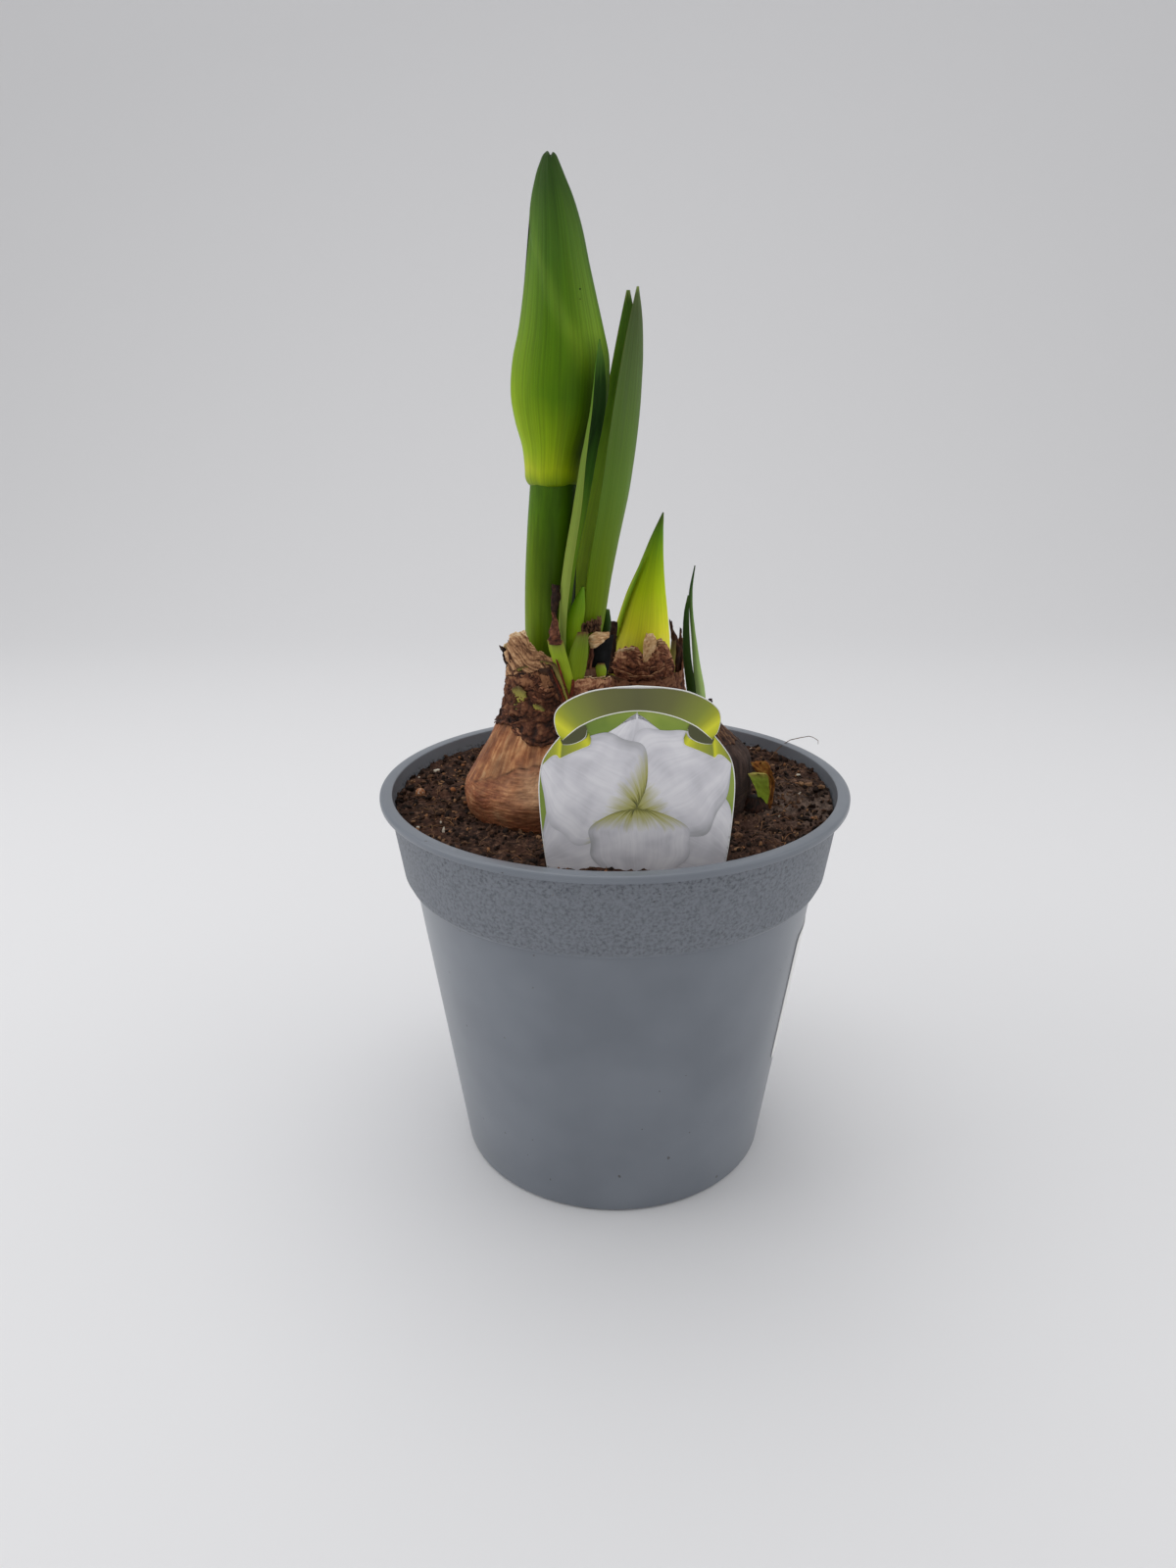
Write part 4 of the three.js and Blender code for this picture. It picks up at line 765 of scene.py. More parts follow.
# the short ones face one way all the way up
for name, replaces, spine, half, bearing, fold, thick, skin, slot, cut in (
        ("scale_front_left", True,
         [(-14.6, -25, 180), (-15.8, -25.2, 187), (-17.5, -25.3, 193), (-19.2, -25.2, 198.6),
          (-20.4, -24.8, 203.6)],
         [1.3, 2.1, 2.7, 2.9, 2.8], -101, 26, [2.2, 2, 1.9, 1.7, 1.2], cut_scale, "scale_green", 0.03),
        ("scale_front_right", True,
         [(-15, -24.2, 180), (-14.4, -24.2, 186.5), (-13.4, -24, 193), (-12.1, -23.8, 199.5),
          (-10.9, -23.4, 205.8)],
         [1.8, 2.9, 3.7, 3.1, 1.9], -82, 28, [2, 1.9, 1.9, 1.6, 1.2], side_scale, "scale_green", 0.0),
        ("leaf_cut_short", False,
         [(-14.6, -18.5, 186), (-14.2, -18.2, 197), (-14.2, -18, 206), (-12.6, -17.6, 213),
          (-10.9, -17, 219.6)],
         [1.6, 2.8, 3.4, 2.5, 0.5], -98, 34, [1.6, 1.6, 1.5, 1.3, 0.9], stub_leaf, "leaf_green", 0.0),
        ("scale_front_stub", True,
         [(-9, -6.6, 186), (-4.7, -7.6, 198), (-2.9, -9, 205), (-2.7, -9.8, 210.9)], [1.4, 1.9, 1.8, 0.8],
         -75, 40, [1.8, 1.8, 1.7, 1.4], thin_dark_leaf, "scale_green", 0.05),
        ("scale_back_stub", True, [(-4.8, 28, 170), (-4.8, 27.4, 178), (-5, 27, 186.4)],
         [2.4, 2.6, 2.2], -110, 24, [1.8, 1.8, 1.4], cut_scale, "scale_green", 0.05),
        ("scale_back_right", True, [(23.2, 32.6, 168), (23.3, 32.6, 180), (23.6, 32.4, 191)],
         [1.6, 1.5, 1.2], -70, 24, [1.6, 1.5, 1.1], pale_scale, "scale_green", 0.08),
        ("scale_back_sliver", False, [(21.9, 29.6, 168), (21.9, 29.4, 175), (22.3, 29.2, 182.4)],
         [1.4, 1.4, 0.8], -80, 30, [1.2, 1.2, 0.9], cut_scale, "scale_pale", 0.1)):
    count = len(spine)
    blade(f"{name}_blade", skin, slot, spine, half, [bearing] * count, [fold] * count, thick,
          name if replaces else None, around=28, up=40, cut=cut)

# The flower stalk is a hollow fleshy scape, round and waxy, that grew up inside the left neck. It has
# painted light on its left and darker painted shade on its right. Its rows are like a bulb's.
STALK = [(176, -22.4, -6.6, 8.4, 8), (205, -22.3, -6.8, 8.6, 8.2), (222, -21.8, -7.4, 8.6, 8.2),
         (238, -20.9, -8.2, 8.4, 8.1), (246, -20.5, -8.5, 8.1, 7.8), (252.6, -20.1, -8.8, 7.9, 7.6)]
WAXY = {"Roughness": 0.42, "Specular IOR Level": 0.11, "Subsurface Weight": 0.06, "Subsurface Scale": 0.001}


def waxy_skin(name, painted_light_side, plain, painted_shade_side, lines):
    """A stalk's or bract's surface: colour stops from foot to tip for its plain side, its painted light and
    its painted shade, with raised lengthwise lines."""
    made, tree, shader = new_material(name, **WAXY)
    uv = add_node(tree, "UVMap").outputs[0]
    lengthwise = add_node(tree, "Mapping", {"Vector": uv, "Scale": (lines, 2.4, 1)}).outputs[0]
    ribs = add_node(tree, "TexNoise",
                    {"Vector": lengthwise, "Scale": 1, "Detail": 4, "Roughness": 0.65}).outputs[0]
    drifting = add_node(tree, "Mapping", {"Vector": uv, "Scale": (9, 2.5, 1)}).outputs[0]
    broad = add_node(tree, "TexNoise", {"Vector": drifting, "Scale": 1, "Detail": 2}).outputs[0]
    drift = add_node(tree, "MapRange", {0: broad, 3: -0.07, 4: 0.07}).outputs[0]
    height = add_node(tree, "SeparateXYZ", {0: uv}).outputs["Y"]
    up = add_node(tree, "Math", {0: height, 1: drift}, operation="ADD").outputs[0]
    colour = add_node(tree, "ValToRGB", {0: up}, plain).outputs[0]
    for side, stops in (("painted_light_side", painted_light_side), ("painted_shade_side", painted_shade_side)):
        share = add_node(tree, "Attribute", attribute_name=side).outputs["Fac"]
        tinted = add_node(tree, "ValToRGB", {0: up}, stops).outputs[0]
        colour = add_node(tree, "Mix", {0: share, 6: colour, 7: tinted}, data_type="RGBA").outputs[2]
    light = add_node(tree, "MapRange", {0: ribs, 1: 0.38, 2: 0.62, 3: 0.84, 4: 1.14}).outputs[0]
    colour = add_node(tree, "VectorMath", {0: colour, "Scale": light}, operation="SCALE").outputs[0]
    tree.links.new(colour, shader.inputs["Base Color"])
    relief = add_node(tree, "Bump", {"Height": ribs, "Strength": 0.3, "Distance": 0.0004})
    tree.links.new(relief.outputs[0], shader.inputs["Normal"])
    return made


# Wax makes the stalk satin, and under it run fine raised lines, about 30 round the stalk.
stalk_skin = waxy_skin("amaryllis stalk, waxy",
                       [(0.0, "8aa028"), (0.36, "6a8408"), (0.7, "567a08"), (1.0, "4c7010")],
                       [(0.0, "5c7808"), (0.36, "385000"), (0.7, "3c5e00"), (1.0, "3a5c04")],
                       [(0.0, "304808"), (0.5, "223c00"), (1.0, "2a440c")], 30)
stalk = new_grid(96, 70)
painted_light_side = stalk.verts.layers.float.new("painted_light_side")
painted_shade_side = stalk.verts.layers.float.new("painted_shade_side")
for vert in stalk.verts:
    z, cx, cy, rx, ry = spread(STALK, (vert.co.y + 1) / 2)
    turn = vert.co.x * math.pi
    # painted light on the left side and painted shade on the right
    vert[painted_light_side] = bump(math.degrees(turn), -165, 42)
    vert[painted_shade_side] = bump(math.degrees(turn), -22, 38)
    vert.co = (cx + rx * math.cos(turn), cy + ry * math.sin(turn), z)
close_up(stalk)
new_piece("flower_stalk_scape", stalk, stalk_skin, "stalk_green", ["flower_stalk"])

# The flower bud is closed in two fleshy bracts, which stand on a thick lip round the stalk's end. They meet
# in a soft keel on each side, one laps the other along a slanting edge, and they part in a cleft at the tip.
BUD = [(251.4, -20.1, -8.8, 7.6, 7.2), (252.2, -20.2, -8.8, 8.6, 8.1), (254.2, -20.2, -8.9, 9.4, 8.6),
       (257.6, -20, -9, 9.7, 8.7), (264, -19.3, -9, 11.1, 8.9), (271, -18.5, -9, 13.8, 9.4),
       (278, -18.1, -9, 15.4, 9.6), (284, -17.8, -9, 15.7, 9.4), (291, -17.4, -9, 15.2, 8.8),
       (299, -17.3, -9, 13.4, 8.2), (308, -17.6, -9, 11.6, 7.6), (318, -18.1, -9, 9.8, 6.8),
       (328, -18.6, -9, 8.1, 5.8), (336, -19.4, -9, 6.4, 4.6), (342, -20, -9, 4.4, 3.2),
       (345.6, -20.1, -9, 2.9, 2.2), (347.4, -20.1, -9, 2, 1.5), (348.4, -20.1, -9, 0.9, 0.8)]
LAP_EDGE = [(286, -72), (294, -82), (302, -98), (314, -121.6), (325.7, -158.7), (333, -185), (349, -200)]
SPECKS = [(-11.2, 310.1, 0.26), (-11.2, 307.3, 0.18), (-7.9, 291, 0.12)]
bud = new_grid(160, 190)
painted_light_side = bud.verts.layers.float.new("painted_light_side")
painted_shade_side = bud.verts.layers.float.new("painted_shade_side")
for vert in bud.verts:
    z, cx, cy, rx, ry = spread(BUD, (vert.co.y + 1) / 2)
    turn = vert.co.x * math.pi
    bearing = math.degrees(turn)
    keel = 1 - 0.07 * math.sin(2 * turn) ** 2
    window = min(max((z - 284) / 14, 0), 1) * min(max((340 - z) / 10, 0), 1)
    past = bearing - between(LAP_EDGE, z)
    lap = (0.55 / (1 + math.exp(-past / 3)) - 0.25) * math.exp(-(past / 60) ** 2) * window
    # a second, fainter edge runs down from the cleft
    past = bearing + 96 - (345 - z) * 0.7
    lap += 0.2 * math.exp(-(past / 9) ** 2) * min(max((z - 318) / 12, 0), 1)
    out = lap + 0.1 * rough(math.cos(turn) * 3, math.sin(turn) * 3, z * 0.02)
    high = min(max((z - 282) / 16, 0), 1)
    # painted light on the left, high on the right and in a band beside the lapping edge; painted shade low
    # on the right
    vert[painted_light_side] = min(bump(bearing, -172, 42) + 0.9 * bump(bearing, -38, 30) * high
                      + 0.6 * math.exp(-((bearing - between(LAP_EDGE, z) - 12) / 12) ** 2) * window, 1)
    vert[painted_shade_side] = bump(bearing, -30, 42) * (1 - high) * min(max((z - 248) / 14, 0.35), 1)
    x = (rx * keel + out) * math.cos(turn)
    cleft = 1.1 * math.exp(-((x - 0.3) / 0.5) ** 2) * min(max((z - 344) / 4, 0), 1)
    vert.co = (cx + x, cy + (ry * keel + out) * math.sin(turn), z - cleft)
close_up(bud)

# A bract is waxy too and finely ribbed, yellow at its foot where it was shaded and dark at its tip.
bract = waxy_skin("amaryllis bud bract, waxy",
                  [(0.0, "64801c"), (0.09, "94a82e"), (0.17, "b8c236"), (0.22, "9cb828"), (0.42, "84a41c"),
                   (0.58, "6a8c28"), (0.67, "567824"), (0.79, "3c5a1c"), (1.0, "2a4016")],
                  [(0.0, "4c6a06"), (0.09, "7c9408"), (0.16, "98ac08"), (0.23, "7c9a04"), (0.36, "507800"),
                   (0.6, "486e08"), (0.68, "44681a"), (0.79, "33501a"), (1.0, "263d13")],
                  [(0.0, "48580a"), (0.12, "465416"), (0.3, "30460a"), (0.45, "3a500c"), (1.0, "2e4410")],
                  110)
new_piece("flower_bud_bracts", bud, bract, "bud_green", ["flower_bud"])
# a few specks of soil have stuck to it in front
specks = bmesh.new()
for x, z, size in SPECKS:
    y = -9 - 8.4 * math.sqrt(max(1 - ((x + 17.6) / 12.2) ** 2, 0)) - 0.02
    place = Matrix.Translation((x, y, z)) @ Matrix.Diagonal((1, 0.5, 1, 1))
    bmesh.ops.create_icosphere(specks, subdivisions=2, radius=size, matrix=place)
new_piece("flower_bud_specks", specks, loose, "soil_peat")

# The dry outer skins are papery and brown. They have torn into collars, flaps and strips round the necks,
# with ragged upper edges, level wrinkles where the neck shrank, and slanting ribs where a skin stands free.
# A top or a foot below is the height of a skin's edge by bearing.
COLLAR_TOP = [(-276, 189), (-268, 192), (-258, 196.6), (-246, 198), (-236, 196.8), (-222, 199.6),
              (-200, 198.4), (-176, 197.5), (-166, 196.4), (-158, 200.6), (-151, 203.8), (-142, 204.8),
              (-132, 205.8), (-126, 205.6), (-121, 202.3), (-110, 199.4), (-100, 197.9), (-88, 196.4)]
COLLAR_FOOT = [(-276, 187), (-176, 188), (-150, 190), (-133, 191.6), (-117, 192.2), (-103, 194),
               (-93, 194.6), (-86, 195)]
FRINGE_TOP = [(-130, 205.6), (-112, 207.4), (-90, 208.2), (-66, 208.8), (-50, 209.8)]
FLAP_TOP = [(-140, 183), (-132, 186.6), (-122, 189.2), (-112, 190.6), (-96, 190.8), (-88, 187.6), (-80, 189),
            (-70, 192.4), (-63, 193.8), (-54, 191.6), (-46, 187.8), (-40, 184)]
FLAP_FOOT = [(-140, 180), (-128, 178.8), (-114, 178), (-90, 177.6), (-70, 177.8), (-54, 178.4), (-40, 178)]
FLAP_RING = (10.6, 34.6, 14.4, 14)
OVER_FLAP = (10.6, 34.6, 15.6, 15.2)
FRONT_TOP = [(-71, 189), (-66, 190.4), (-50, 190), (-30, 188.6), (-10, 187.4), (10, 186)]
WINDOW = (-133, 184)


def dry_skin(name, deep, middle, light, pale):
    """A papery skin with lengthwise fibres, whose tone follows the crest attribute: painted shade in the
    creases and painted light on the crests, where a piece folds.
    """
    made, tree, shader = new_material(name, **{"Roughness": 0.72, "Specular IOR Level": 0.22})
    where = add_node(tree, "TexCoord").outputs["Object"]
    crest = add_node(tree, "Attribute", attribute_name="crest").outputs["Fac"]
    # 95 fibres cross a sheet; the patches of stain are 4 mm wide
    uv = add_node(tree, "UVMap").outputs[0]
    lengthwise = add_node(tree, "Mapping", {"Vector": uv, "Scale": (95, 7, 1)}).outputs[0]
    fibre = add_node(tree, "TexNoise",
                     {"Vector": lengthwise, "Scale": 1, "Detail": 4, "Roughness": 0.65}).outputs[0]
    patch = add_node(tree, "TexNoise",
                     {"Vector": where, "Scale": 260, "Detail": 4, "Roughness": 0.6}).outputs[0]
    fibre_part = add_node(tree, "MapRange", {0: fibre, 3: -0.25, 4: 0.25}).outputs[0]
    patch_part = add_node(tree, "MapRange", {0: patch, 3: -0.28, 4: 0.28}).outputs[0]
    mixed = add_node(tree, "Math", {0: crest, 1: fibre_part}, operation="ADD").outputs[0]
    mixed = add_node(tree, "Math", {0: mixed, 1: patch_part}, operation="ADD").outputs[0]
    colour = add_node(tree, "ValToRGB", {0: mixed},
                      [(0.12, deep), (0.38, middle), (0.64, light), (0.92, pale)]).outputs[0]
    tree.links.new(colour, shader.inputs["Base Color"])
    blistered = add_node(tree, "Bump", {"Height": patch, "Strength": 0.5, "Distance": 0.0005}).outputs[0]
    relief = add_node(tree, "Bump",
                      {"Height": fibre, "Strength": 0.4, "Distance": 0.0004, "Normal": blistered})
    tree.links.new(relief.outputs[0], shader.inputs["Normal"])
    return made


def neck_at(neck, z):
    """The centre and radii at a height of a neck, which is a bulb's rows or one ring for any height."""
    if isinstance(neck, tuple):
        return neck
    for a, b in zip(neck, neck[1:]):
        if z <= b[0]:
            break
    t = min(max((z - a[0]) / (b[0] - a[0]), 0), 1)
    return [a[i] + (b[i] - a[i]) * t for i in range(1, 5)]


def edge_at(edge, bearing):
    """The height at a bearing of a skin's edge, which is a height, a list of pairs or a rule."""
    if callable(edge):
        return edge(bearing)
    return between(edge, bearing) if isinstance(edge, list) else edge


def torn_skin(name, material, slot, neck, foot, top, out, start=-180, end=180, around=240, up=40, level=0.5,
              ribs=0.3, ragged=0.8, curl=0.0, seed=0, replaces=None, tint=0.0, lean=0.0):
    """A torn sheet of skin round a neck. foot and top are its edges, out gives how far it stands off the
    neck by bearing and share of its height, level and ribs are the depth of its level and lengthwise
    wrinkles, and lean how far the ribs turn round the neck with each millimetre of height."""
    mesh = new_grid(around, up)
    crest = mesh.verts.layers.float.new("crest")
    for vert in mesh.verts:
        v = (vert.co.y + 1) / 2
        bearing = start + (vert.co.x + 1) / 2 * (end - start)
        turn = math.radians(bearing)
        x, y = math.cos(turn), math.sin(turn)
        tear = rough(x * 9, y * 9, seed, 4) + 0.5 * abs(rough(x * 26, y * 26, seed + 4, 2))
        upper = edge_at(top, bearing) + ragged * tear
        lower = edge_at(foot, bearing) + 0.6 * ragged * rough(x * 8, y * 8, seed + 9, 4)
        z = lower + v * (upper - lower)
        cx, cy, rx, ry = neck_at(neck, z)
        wave = z + 1.6 * rough(x * 4, y * 4, seed + z * 0.12, 2)
        flat = 0.6 * folds(x * 3 + seed, y * 3, wave * 0.55) + 0.4 * folds(x * 8 + seed, y * 8, wave * 1.2)
        slant = turn + lean * (z - lower) + 0.12 * rough(x * 2.4, y * 2.4, seed + z * 0.14, 2)
        tall = 0.6 * folds(math.cos(slant) * 8, math.sin(slant) * 8 + seed, z * 0.05)
        tall += 0.4 * folds(math.cos(slant) * 19, math.sin(slant) * 19 + seed, z * 0.07)
        edge = v ** 4
        stand = out(bearing, v) + level * flat * (1 - 0.7 * edge) + ribs * tall * (0.4 + 0.6 * v)
        stand += curl * edge * (1 + 0.6 * rough(x * 5, y * 5, seed + 2))
        # painted light on the crests of the folds and towards the upper edge, painted shade in the creases
        vert[crest] = (0.14 * v - 0.06 + tint + 0.52 * flat * min(level * 2, 1)
                       + 0.54 * tall * min(ribs * 2, 1) + 0.2 * edge)
        vert.co = (cx + (rx + stand) * x, cy + (ry + stand) * y, z)
    if end - start == 360:
        bmesh.ops.remove_doubles(mesh, verts=mesh.verts, dist=0.002)
    piece = new_piece(name, mesh, material, slot, [replaces] if replaces else ())
    wall = piece.modifiers.new("skin", "SOLIDIFY")
    wall.thickness = 0.3 * MM
    wall.offset = -1
    return piece


def shreds(name, material, slot, neck, patches, stand, seed):
    """Scraps of skin that lie over each other on a neck. A patch is its bearing, height, width, length, turn
    in degrees and tint."""
    mesh = bmesh.new()
    mesh.loops.layers.uv.new("UVMap")
    crest = mesh.verts.layers.float.new("crest")
    for k, (bearing, level, width, length, turn, tint) in enumerate(patches):
        scrap = bmesh.ops.create_grid(mesh, x_segments=12, y_segments=9, size=1, calc_uvs=True)
        lean = math.radians(turn)
        lift = stand * (0.4 + 0.6 * abs(math.sin(k * 2.3)))
        for vert in scrap["verts"]:
            s, t = vert.co.x, vert.co.y
            frayed = 1 + 0.35 * rough(s * 2.2 + k, t * 2.2, seed)
            across = s * width / 2 * frayed * (1 - 0.45 * t ** 4)
            along = t * length / 2 * (1 + 0.3 * rough(s * 2 + k, t, seed + 3)) * (1 - 0.3 * s ** 4)
            right = across * math.cos(lean) - along * math.sin(lean)
            z = level + across * math.sin(lean) + along * math.cos(lean)
            cx, cy, rx, ry = neck_at(neck, z)
            place = math.radians(bearing) + right / max(rx, 1)
            fold = folds(s * 1.3 + k, t * 2.2, seed, 3)
            # a scrap is fast at its foot and lifts at its upper edge
            off = 0.25 + lift * (0.3 + 0.35 * (t + 1)) + 0.35 * fold + 0.25 * s * math.sin(k * 1.7)
            # painted light on the folds' crests and towards the upper edge, painted shade in the creases
            vert[crest] = 0.14 + tint + 0.4 * fold + 0.2 * t
            vert.co = (cx + (rx + off) * math.cos(place), cy + (ry + off) * math.sin(place), z)
    piece = new_piece(name, mesh, material, slot)
    wall = piece.modifiers.new("skin", "SOLIDIFY")
    wall.thickness = 0.25 * MM
    wall.offset = -1
    return piece


# Dead skin dries papery and nearly matt. Bleached skins are cream or tan and show their fibres. The tight
# skins under them are russet, and rusty where they were just torn. Those that rotted in the wet are dark.
# The dark russet is russet darkened as painted shade, for skins in shadow, and the near-black sheet is
# painted shade inside the hollow.
brown_skin = dry_skin("bulb tunic, brown", "110704", "341a0f", "5c3522", "8d6142")
tan_skin = dry_skin("bulb tunic, tan", "28160d", "815a3e", "bb9068", "ecd0a8")
red_skin = dry_skin("bulb tunic, russet", "200e09", "573122", "88553c", "c4936e")
rust_skin = dry_skin("bulb tunic, rusty edge", "2a0f08", "5f2412", "8f3f1e", "b8703c")
cream_skin = dry_skin("bulb tunic, bleached", "a87c50", "d6ac7e", "f0d4a8", "fdeccc")
dark_skin = dry_skin("bulb tunic, dark", "0c0604", "29170f", "452c1f", "6f5038")
shade_skin = dry_skin("bulb tunic, russet in painted shade", "140805", "371b10", "5d3523", "855a40")
hollow_shade_skin = dry_skin("painted shade in the hollow", "070809", "0c0d0f", "16181a", "2a2a2a")

torn_skin("tunic_left_neck_band", brown_skin, "skin_brown", LEFT_BULB,
          lambda b: 170 + 3.4 * bump(b, -140, 30) - 2.2 * bump(b, -104, 18) + 1 * bump(b, 178, 20),
          lambda b: 189 + 3 * bump(b, -110, 30), lambda b, v: 0.3 + 0.5 * v, level=1.2, ribs=0.25,
          ragged=1.2, around=260, up=60, seed=3, replaces="tunic_left_neck", tint=0.02)
torn_skin("tunic_left_collar_sheet", tan_skin, "skin_tan", LEFT_BULB, COLLAR_FOOT, COLLAR_TOP,
          lambda b, v: 1.1 + v * v * (0.1 + 0.8 * bump(b, 178, 30)) - 1.2 * v * bump(b, -100, 26),
          start=-276, end=-88, level=0.2, ribs=1.0, ragged=0.7, around=280, up=50, seed=11,
          replaces="tunic_left_collar", lean=0.07)
# inside each neck the cut ends of the scales stand in rings
for name, skin, ring, foot, top, start, end, seed in (
        ("scale_left_ring", red_skin, (-21.4, -8.4, 12.6, 10.6), 190.8, 194.2, -8, 226, 41),
        ("scale_left_core", shade_skin, (-19, -8, 9.8, 9.2), 191, 193.4, -20, 200, 42),
        ("scale_back_ring", red_skin, (8.2, 36.6, 15, 10.8), 176.8, 180.6, -20, 200, 43),
        ("scale_back_core", shade_skin, (9.6, 36, 10.4, 7.6), 177, 180, -30, 210, 44),
        ("scale_right_ring", dark_skin, (28.7, -7.8, 4.5, 4.3), 174.6, 177, -180, 180, 45)):
    torn_skin(name, skin, "skin_brown", ring, foot, top, lambda b, v: 0.4 * v, start=start, end=end,
              level=0.3, ribs=0.5, ragged=1.3, around=110, up=10, seed=seed)
# scraps lie over the left neck, except where a window in them shows a green scale
random.seed(5)
scraps = []
for i in range(46):
    bearing = random.uniform(-215, -88)
    level = random.uniform(173.5, 191)
    if abs(bearing - WINDOW[0]) < 12 and abs(level - WINDOW[1]) < 4.5:
        continue
    scraps.append((bearing, level, random.uniform(4, 10), random.uniform(1.8, 5.6), random.uniform(-30, 30),
                   random.uniform(-0.2, 0.16)))
scraps += [(-178, 184.2, 6, 4.6, 24, 0.05), (-173, 178.8, 6, 3.6, -15, 0.1), (178, 173.6, 7, 3, 12, 0),
           (-170, 189.4, 6, 4, 30, 0.1), (174, 187, 6, 5, 10, 0)]
shreds("tunic_left_scraps", brown_skin, "skin_brown", LEFT_BULB, scraps, 1.1, 51)
shreds("tunic_left_tan_scraps", red_skin, "skin_tan", LEFT_BULB,
       [(-112, 189.5, 7, 4.5, 12, 0.2), (-118, 183.6, 6, 3.4, -24, 0.12), (-104, 185.5, 4.6, 6.4, -18, 0.16),
        (-150, 175.6, 7, 2, 10, 0.1), (-128, 172.2, 6, 1.8, -20, 0.2), (-160, 181, 4, 4.4, 10, 0.08),
        (-98, 178.6, 8, 1.8, -8, 0.06), (-116, 176.4, 9, 1.4, -6, 0.16), (-146, 190.6, 4, 3, 24, 0.2)],
       1.0, 57)
shreds("tunic_left_green_patch", pale_scale, "scale_green", LEFT_BULB,
       [(-139, 179.6, 2.4, 4.2, 12, 0), (-133, 184.2, 6.4, 6, 4, 0), (-106, 180.4, 4, 2.6, -30, 0),
        (-131, 192.8, 4.4, 1.6, 20, 0), (-97, 195.4, 5, 1.6, -14, 0)], 2.2, 61)
torn_skin("tunic_left_fringe_sheet", dark_skin, "skin_brown", (-9.2, -11.6, 5.2, 5.2), 204.2, FRINGE_TOP,
          lambda b, v: 0.3 + 0.9 * v, start=-128, end=-50, level=0.9, ribs=0.5, ragged=1.1, around=90, up=40,
          seed=17, replaces="tunic_left_fringe", tint=0.05)
torn_skin("tunic_back_collar_sheet", shade_skin, "skin_brown", BACK_BULB, 166,
          lambda b: (177.3 + 9 * bump(b, -162, 24) + 8 * bump(b, 122, 36) + 5 * bump(b, 62, 26)
                     + 12.5 * bump(b, 14, 24)),
          lambda b, v: 0.7 + v * v * (0.4 + 0.8 * bump(b, 90, 40)), level=0.6, ribs=0.6, ragged=1.7,
          around=260, up=40, seed=23, replaces="tunic_back_collar")
torn_skin("tunic_back_flap_sheet", red_skin, "skin_brown", FLAP_RING, FLAP_FOOT, FLAP_TOP,
          lambda b, v: 0.3 + 1.6 * math.sin(math.pi * v) + 0.5 * v, start=-139, end=-41, level=0.55,
          ribs=0.3, ragged=0.7, around=180, up=60, curl=0.3, seed=29, replaces="tunic_back_flap", lean=0.03)
torn_skin("tunic_left_front_sheet", red_skin, "skin_rust", LEFT_BULB, 177, FRONT_TOP,
          lambda b, v: 0.9 + 1.9 * bump(b, -74, 24) + v * (0.4 + 2.2 * bump(b, -22, 34)), start=-71, end=8,
          level=0.7, ribs=0.2, ragged=0.5, around=110, up=40, seed=13, tint=0.02)
shreds("tunic_left_front_rim", tan_skin, "skin_tan", LEFT_BULB,
       [(-58, 189.9, 8, 1.2, -2, 0.3), (-38, 189.1, 8, 1.1, -6, 0.28), (-20, 188, 6, 1, -6, 0.2)], 3.2, 67)
shreds("tunic_left_front_green", cut_scale, "scale_green", LEFT_BULB,
       [(-63, 185.8, 5.4, 3.4, 10, 0)], 4.2, 69)
shreds("tunic_back_flap_scraps", tan_skin, "skin_tan", OVER_FLAP,
       [(-122, 187.4, 6, 3, 22, 0.12), (-111, 189.6, 6.4, 1.6, 14, 0.34), (-129, 184.6, 3.6, 3.4, 10, 0.0),
        (-64, 191.6, 4, 2.6, -30, 0.05)], 0.8, 71)
shreds("tunic_back_flap_folds", red_skin, "skin_rust", OVER_FLAP,
       [(-104, 184.6, 7, 2, -12, 0.12), (-84, 182.4, 8, 1.6, 8, 0.16), (-66, 187, 7, 3.4, -16, 0.1),
        (-58, 183.4, 6, 1.6, 26, 0.18), (-76, 185.6, 5, 2, 20, 0.04), (-92, 179.6, 9, 1, 2, 0.3),
        (-114, 181, 7, 1, -14, 0.3), (-64, 181.6, 8, 0.9, 20, 0.3), (-97, 187.2, 4, 1.4, -8, -0.16)],
       0.9, 73)
torn_skin("tunic_back_curl_sheet", tan_skin, "skin_cream", (-5, 31.4, 3.2, 3.2), 179.6, 194.4,
          lambda b, v: 0.6 * v * v, start=30, end=236, level=0.2, ribs=0.3, ragged=0.7, around=80, up=40,
          seed=31, replaces="tunic_back_curl")
torn_skin("tunic_right_collar_sheet", dark_skin, "skin_brown", RIGHT_BULB, 164.5,
          lambda b: 172.6 + 2 * bump(b, 150, 30), lambda b, v: 0.3 + 0.4 * v, level=0.7, ribs=0.6,
          ragged=1.3, around=140, up=30, seed=37, replaces="tunic_right_collar")
